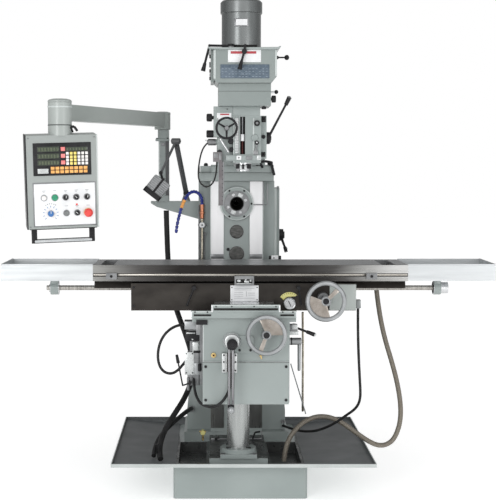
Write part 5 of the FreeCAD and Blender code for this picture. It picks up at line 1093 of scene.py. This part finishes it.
def make_pendant():
    hung = hung_frame()
    body = "pendant"

    def put(name, low, high, material, bevel=0.8):
        return block(name, low, high, material, body, bevel, hung)

    def many(name, boxes, material, bevel=0.5):
        return blocks(name, boxes, material, body, bevel, hung)

    put("case_front", (-167, -51.2, -442), (169, -48, -1), "pendant_front", 2)
    put("case_left_shell", (-170.5, -52.5, -444), (-164.5, 50, 1), "black", 2)
    # painted highlight along the case's right edge
    put("case_right_edge", (163, -52.6, -443), (169.5, -46, 0), "edge_highlight", 2)
    put("display_panel", (-134, -54, -190), (138, -50, -36), "black", 2)
    for index, top in enumerate((-53, -85, -116)):
        put(f"display_{index}", (-114, -55.2, top - 25), (-11, -53, top), "display", 1)
        many(f"display_{index}_digits", [((x, -55.9, top - 21), (x + 9, -55, top - 5)) for x in range(-108, -18,
            14)], "digit", 0.4)
        put(f"axis_key_{index}", (-4, -56.4, top - 22), (16, -53.5, top - 3), "key_pink", 2)
    put("message_window", (19, -55.2, -76), (123, -53, -57), "display", 1)
    many("message_digits", [((x, -55.9, -73), (x + 7, -55, -61)) for x in range(24, 118, 14)], "digit", 0.4)
    rows = (-80, -97, -112, -128)
    tints = ("key_white", "key_yellow", "key_yellow", "key_white", "key_white", "key_white")
    for column, (left, tint) in enumerate(zip(range(20, 122, 18), tints)):
        many(f"keys_{column}", [((left, -56.6, z - 13), (left + 13, -53.6, z)) for z in rows], tint, 2)
    many("orange_keys", [((left, -56.6, z - 14), (left + 18, -53.6, z)) for left in range(-53, 121,
        22) for z in (-148, -165)], "key_orange", 2)
    put("plain_badge", (-114, -55.4, -179), (-64, -53.4, -156), "bright_pad", 0.8)
    put("panel_bezel", (-140, -53.4, -432), (158, -50, -222), "dull_steel", 2.5)
    put("control_panel", (-134, -54.4, -426), (152, -52, -228), "white", 1)
    many("panel_marks", [((x - 8, -55.1, z), (x + 8, -54.2, z + 2.2)) for x, z in ((-89, -262), (-38, -262),
        (13, -262), (63, -262), (114, -262), (15, -336), (66, -336), (118, -336))] + [((x - 5, -55.1, z),
        (x + 4, -54.2, z + 2)) for x, z in ((-89, -268), (13, -268), (63, -268), (114, -268), (66, -342))],
        "plate_mark", 0.3)

    def ring(name, x, z, outline, material, count=32):
        turned(name, "y", [(radius, -50 - depth) for radius, depth in outline], (x, z), material, body, count,
            hung)

    bezel = [(0, 3), (15.5, 3), (15.5, 6), (14, 9), (11.5, 9.5), (11, 8), (0, 8)]
    for index, x in enumerate((13, 63, 114)):
        ring(f"selector_ring_{index}", x, -294, bezel, "dull_steel")
        ring(f"selector_{index}", x, -294, [(0, 8), (11, 8), (11.5, 12), (10, 16), (0, 16)], "black", 24)
        lean = hung @ Matrix.Translation((x, 0, -294)) @ Matrix.Rotation(math.radians((8, -40, 12)[index]), 4,
            "Y")
        block(f"selector_bar_{index}", (-4, -78, -11), (4, -65, 11), "black", body, 2, lean)
        block(f"selector_line_{index}", (-1.2, -78.9, -1), (1.2, -77.5, 10), "white", body, 0.3, lean)
    ring("white_button_ring", -89, -294, bezel, "aluminium")
    ring("white_button", -89, -294, [(0, 8), (11, 8), (11, 12), (9.5, 13.5), (0, 14)], "key_white")
    ring("start_ring", -38, -294, [(14.6, 3), (17, 3), (17, 6.5), (15.2, 8), (14.6, 6)], "aluminium")
    ring("dark_button_ring", 15, -369, bezel, "dull_steel")
    ring("dark_button", 15, -369, [(0, 8), (11.5, 8), (11.5, 11.5), (10, 13), (0, 13)], "motor")
    ring("low_selector_ring", 66, -369, bezel, "dull_steel")
    ring("low_selector", 66, -369, [(0, 8), (11, 8), (11.5, 12), (10, 16), (0, 16)], "black", 24)
    lean = hung @ Matrix.Translation((66, 0, -369)) @ Matrix.Rotation(math.radians(-55), 4, "Y")
    block("low_selector_bar", (-4, -78, -11), (4, -65, 11), "black", body, 2, lean)
    block("low_selector_line", (-1.2, -78.9, -1), (1.2, -77.5, 10), "white", body, 0.3, lean)
    ring("stop_collar", 118, -369, [(8.6, 3), (22, 3), (22, 4.2), (17, 5.4), (8.6, 5.4)], "yellow")
    put("red_mark", (60, -55.1, -334), (69, -54.2, -325), "red", 0.3)
    many("turn_marks", [((x, -55.1, z), (x + 5, -54.2, z + 2.5)) for x, z in ((-84, -330), (-76, -326), (-66,
        -324), (-56, -324), (-46, -326), (-38, -330))], "black", 0.5)
    ring("dial_scale", -59, -369, [(15.6, 4.2), (26, 4.2), (26, 5), (15.6, 5)], "key_white")
    ticks = bmesh.new()
    for k in range(11):
        angle = math.radians(225 - 27 * k)
        add_bar(ticks, (-59 + 29 * math.cos(angle), -54.9, -369 + 29 * math.sin(angle)),
            (-59 + 38 * math.cos(angle), -54.9, -369 + 38 * math.sin(angle)), 1.1, None, 8)
    place_mesh("dial_ticks", ticks, "blue_cap", body, True, hung)
    block("dial_pointer", (-60.4, -71, -367), (-57.6, -69.4, -356), "white", "speed_dial", 0.3, hung)
    many("handle_brackets", [((-152, -38, -448), (-128, -6, -442)), ((120, -38, -448), (152, -6, -442)), ((-150,
        -34, -512), (-138, -12, -444)), ((138, -34, -512), (150, -12, -444))], "black", 2)
    bm = bmesh.new()
    add_bar(bm, (-137, -23, -504), (137, -23, -504), 10.6, None, 24, 0.2)
    place_mesh("handle_grip", bm, "handle_bar", body, True, hung)
    cap_screws("case_screws", [(-155, -12), (155, -12), (-155, -432), (155, -432)], "y", -51, -1, 3.2, 2.4,
        body, "dull_steel", hung)
    # painted shade under the pendant case
    block("case_underside", (-160, -48, -446), (160, 50, -442), "dark_hole", body, 1, hung)
    bars("pendant_cable", [((-795, -906, 1858), (-801, -930, 1880), 5), ((-801, -930, 1880), (-785, -940, 1884),
        6), ((-785, -940, 1884), (-769, -940, 1862), 6)], "black", body)
    turned("neck_groove", "z", [(56, 1888), (57.4, 1888.8), (57.4, 1892), (56, 1893)], (-855, -906), "seam",
        body, 56)
    # boom and post
    turned("boom_cap", "z", [(0, 2015), (34, 2014), (50, 2010), (57, 2004), (57.2, 1998), (0, 1998)], (-855,
        -906), "boom_paint", "boom", 56)
    # painted highlight band on the boom's neck
    turned("boom_neck_band", "z", [(56, 1972), (57.6, 1973), (57.6, 1979), (56, 1980)], (-855, -906),
        "edge_highlight", "boom", 56)
    turned("collar_cap", "z", [(0, 1997), (30, 1996), (42, 1992), (45, 1986), (45, 1980), (0, 1980)], (-411,
        120), "boom_paint", "boom", 48)
    fixed = "machine"
    block("post_collar_plate", (-449, 88, 1833), (-373, 152, 1846), "paint", fixed, 3)
    cap_screws("post_collar_screws", [(x, y) for x in (-441, -381) for y in (96, 144)], "z", 1846, 1, 5, 5,
        fixed)
    # painted highlight down the post's left front edge
    block("post_light_edge", (-432.4, 98.4, 1530), (-424, 100, 1833), "edge_highlight", fixed, 2)
    # painted shade down the post's right side
    block("post_right_shade", (-394, 97.4, 1532), (-375.6, 99.4, 1832), "lamp_arm", fixed, 1)
    block("post_small_plate", (-418, 97, 1806), (-396, 99, 1824), "dull_steel", fixed, 0.6)
    # painted highlight at the post's foot
    block("post_foot_edge", (-445.4, 90.6, 1501), (-436, 92.6, 1530), "edge_highlight", fixed, 1)
    turned("lamp_stand_neck", "z", [(0, 1528), (16, 1528), (16, 1531), (11, 1533), (11, 1536), (0, 1536)],
        (-281, 120), "aluminium", fixed, 32)


def make_lamp():
    foot, elbow = Vector((-281, 120, 1552)), Vector((-330, -120, 1829))
    wrist, centre = Vector((-409, -160, 1660)), Vector((-424, -180, 1588))

    def flat_arm(bm, start, end, wide, thick):
        way = end - start
        turn = way.to_track_quat("Z", "X").to_matrix().to_4x4()
        part = bmesh.new()
        add_block(part, (-wide / 2, -thick / 2, 0), (wide / 2, thick / 2, way.length), 5)
        bmesh.ops.transform(part, matrix=Matrix.Translation(start) @ turn, verts=part.verts)
        mesh = bpy.data.meshes.new("part")
        part.to_mesh(mesh)
        part.free()
        bm.from_mesh(mesh)
        bpy.data.meshes.remove(mesh)

    bm = bmesh.new()
    flat_arm(bm, foot.lerp(elbow, 0.02), foot.lerp(elbow, 0.925), 25, 25)
    lower = [place_mesh("lamp_arm_low", bm, "lamp_arm", "lamp_lower", True), turned("lamp_swivel", "z", [(0,
        1535), (14, 1535), (15, 1538), (15, 1558), (12, 1562), (0, 1562)], (-281, 120), "black", "lamp_lower",
        32)]
    for piece in lower:
        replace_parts(piece, "lamp_lower_arm")
    side = Vector((0.98, -0.199, 0))
    bm = bmesh.new()
    add_bar(bm, elbow - side * 24, elbow + side * 24, 16, None, 28, 0.2)
    add_bar(bm, elbow - side * 27, elbow + side * 27, 7, None, 20, 0.2)
    add_bar(bm, elbow, wrist, 7.5, 6.5, 24, 0.2)
    add_bar(bm, (-409, -173, 1660), (-409, -146, 1660), 10.5, None, 24, 0.15)
    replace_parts(place_mesh("lamp_arm_high", bm, "lamp_arm", "lamp_upper", True), "lamp_upper_arm")
    turn = Matrix.Translation(centre) @ Matrix.Rotation(math.radians(38), 4, "Y")
    shade = [blocks("lamp_case", [((-50, -46, -44), (50, 46, 40))], "lamp_case", "lamp_shade", 5, turn),
        blocks("lamp_fins", [((-48, -47.5, -28 + k * 11), (48, 47.5, -23 + k * 11)) for k in range(7)],
        "aluminium", "lamp_shade", 1.5, turn), blocks("lamp_loop", [((-6, -51, -40), (6, -46, 52)), ((-6, 46,
        -40), (6, 51, 52)), ((-6, -51, 48), (6, 51, 54))], "black", "lamp_shade", 1.5, turn),
        blocks("lamp_frame", [((-52, -48, -62), (52, -40, -34)), ((-52, 40, -62), (52, 48, -34)), ((-52, -48,
        -62), (-44, 48, -34)), ((44, -48, -62), (52, 48, -34))], "black", "lamp_shade", 2, turn),
        block("lamp_glass", (-45, -41, -46), (45, 41, -42), "lens", "lamp_shade", 1, turn), bars("lamp_neck",
        [((-398, -182, 1618), (-408, -182, 1656), 6), ((-409, -190, 1660), (-409, -174, 1660), 9.5)], "black",
        "lamp_shade"), knob("lamp_knob", "y", -188, -14, 10, (-409, 1660), "lamp_shade"),]
    for piece in shade:
        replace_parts(piece, "lamp_head")


def make_details():
    wheel("cross", (130, 869), -745, (0, 115), 250, "cross_wheel", "cross_handwheel")
    wheel("traverse", (426, 1030), -690, (160, 285), 45, "traverse_wheel", "traverse_handwheel")
    make_head()
    make_column()
    make_coolant()
    make_knee()
    make_saddle()
    make_base()
    make_pendant()
    make_lamp()


make_stage()
make_cords()
dress_nodes()
make_details()
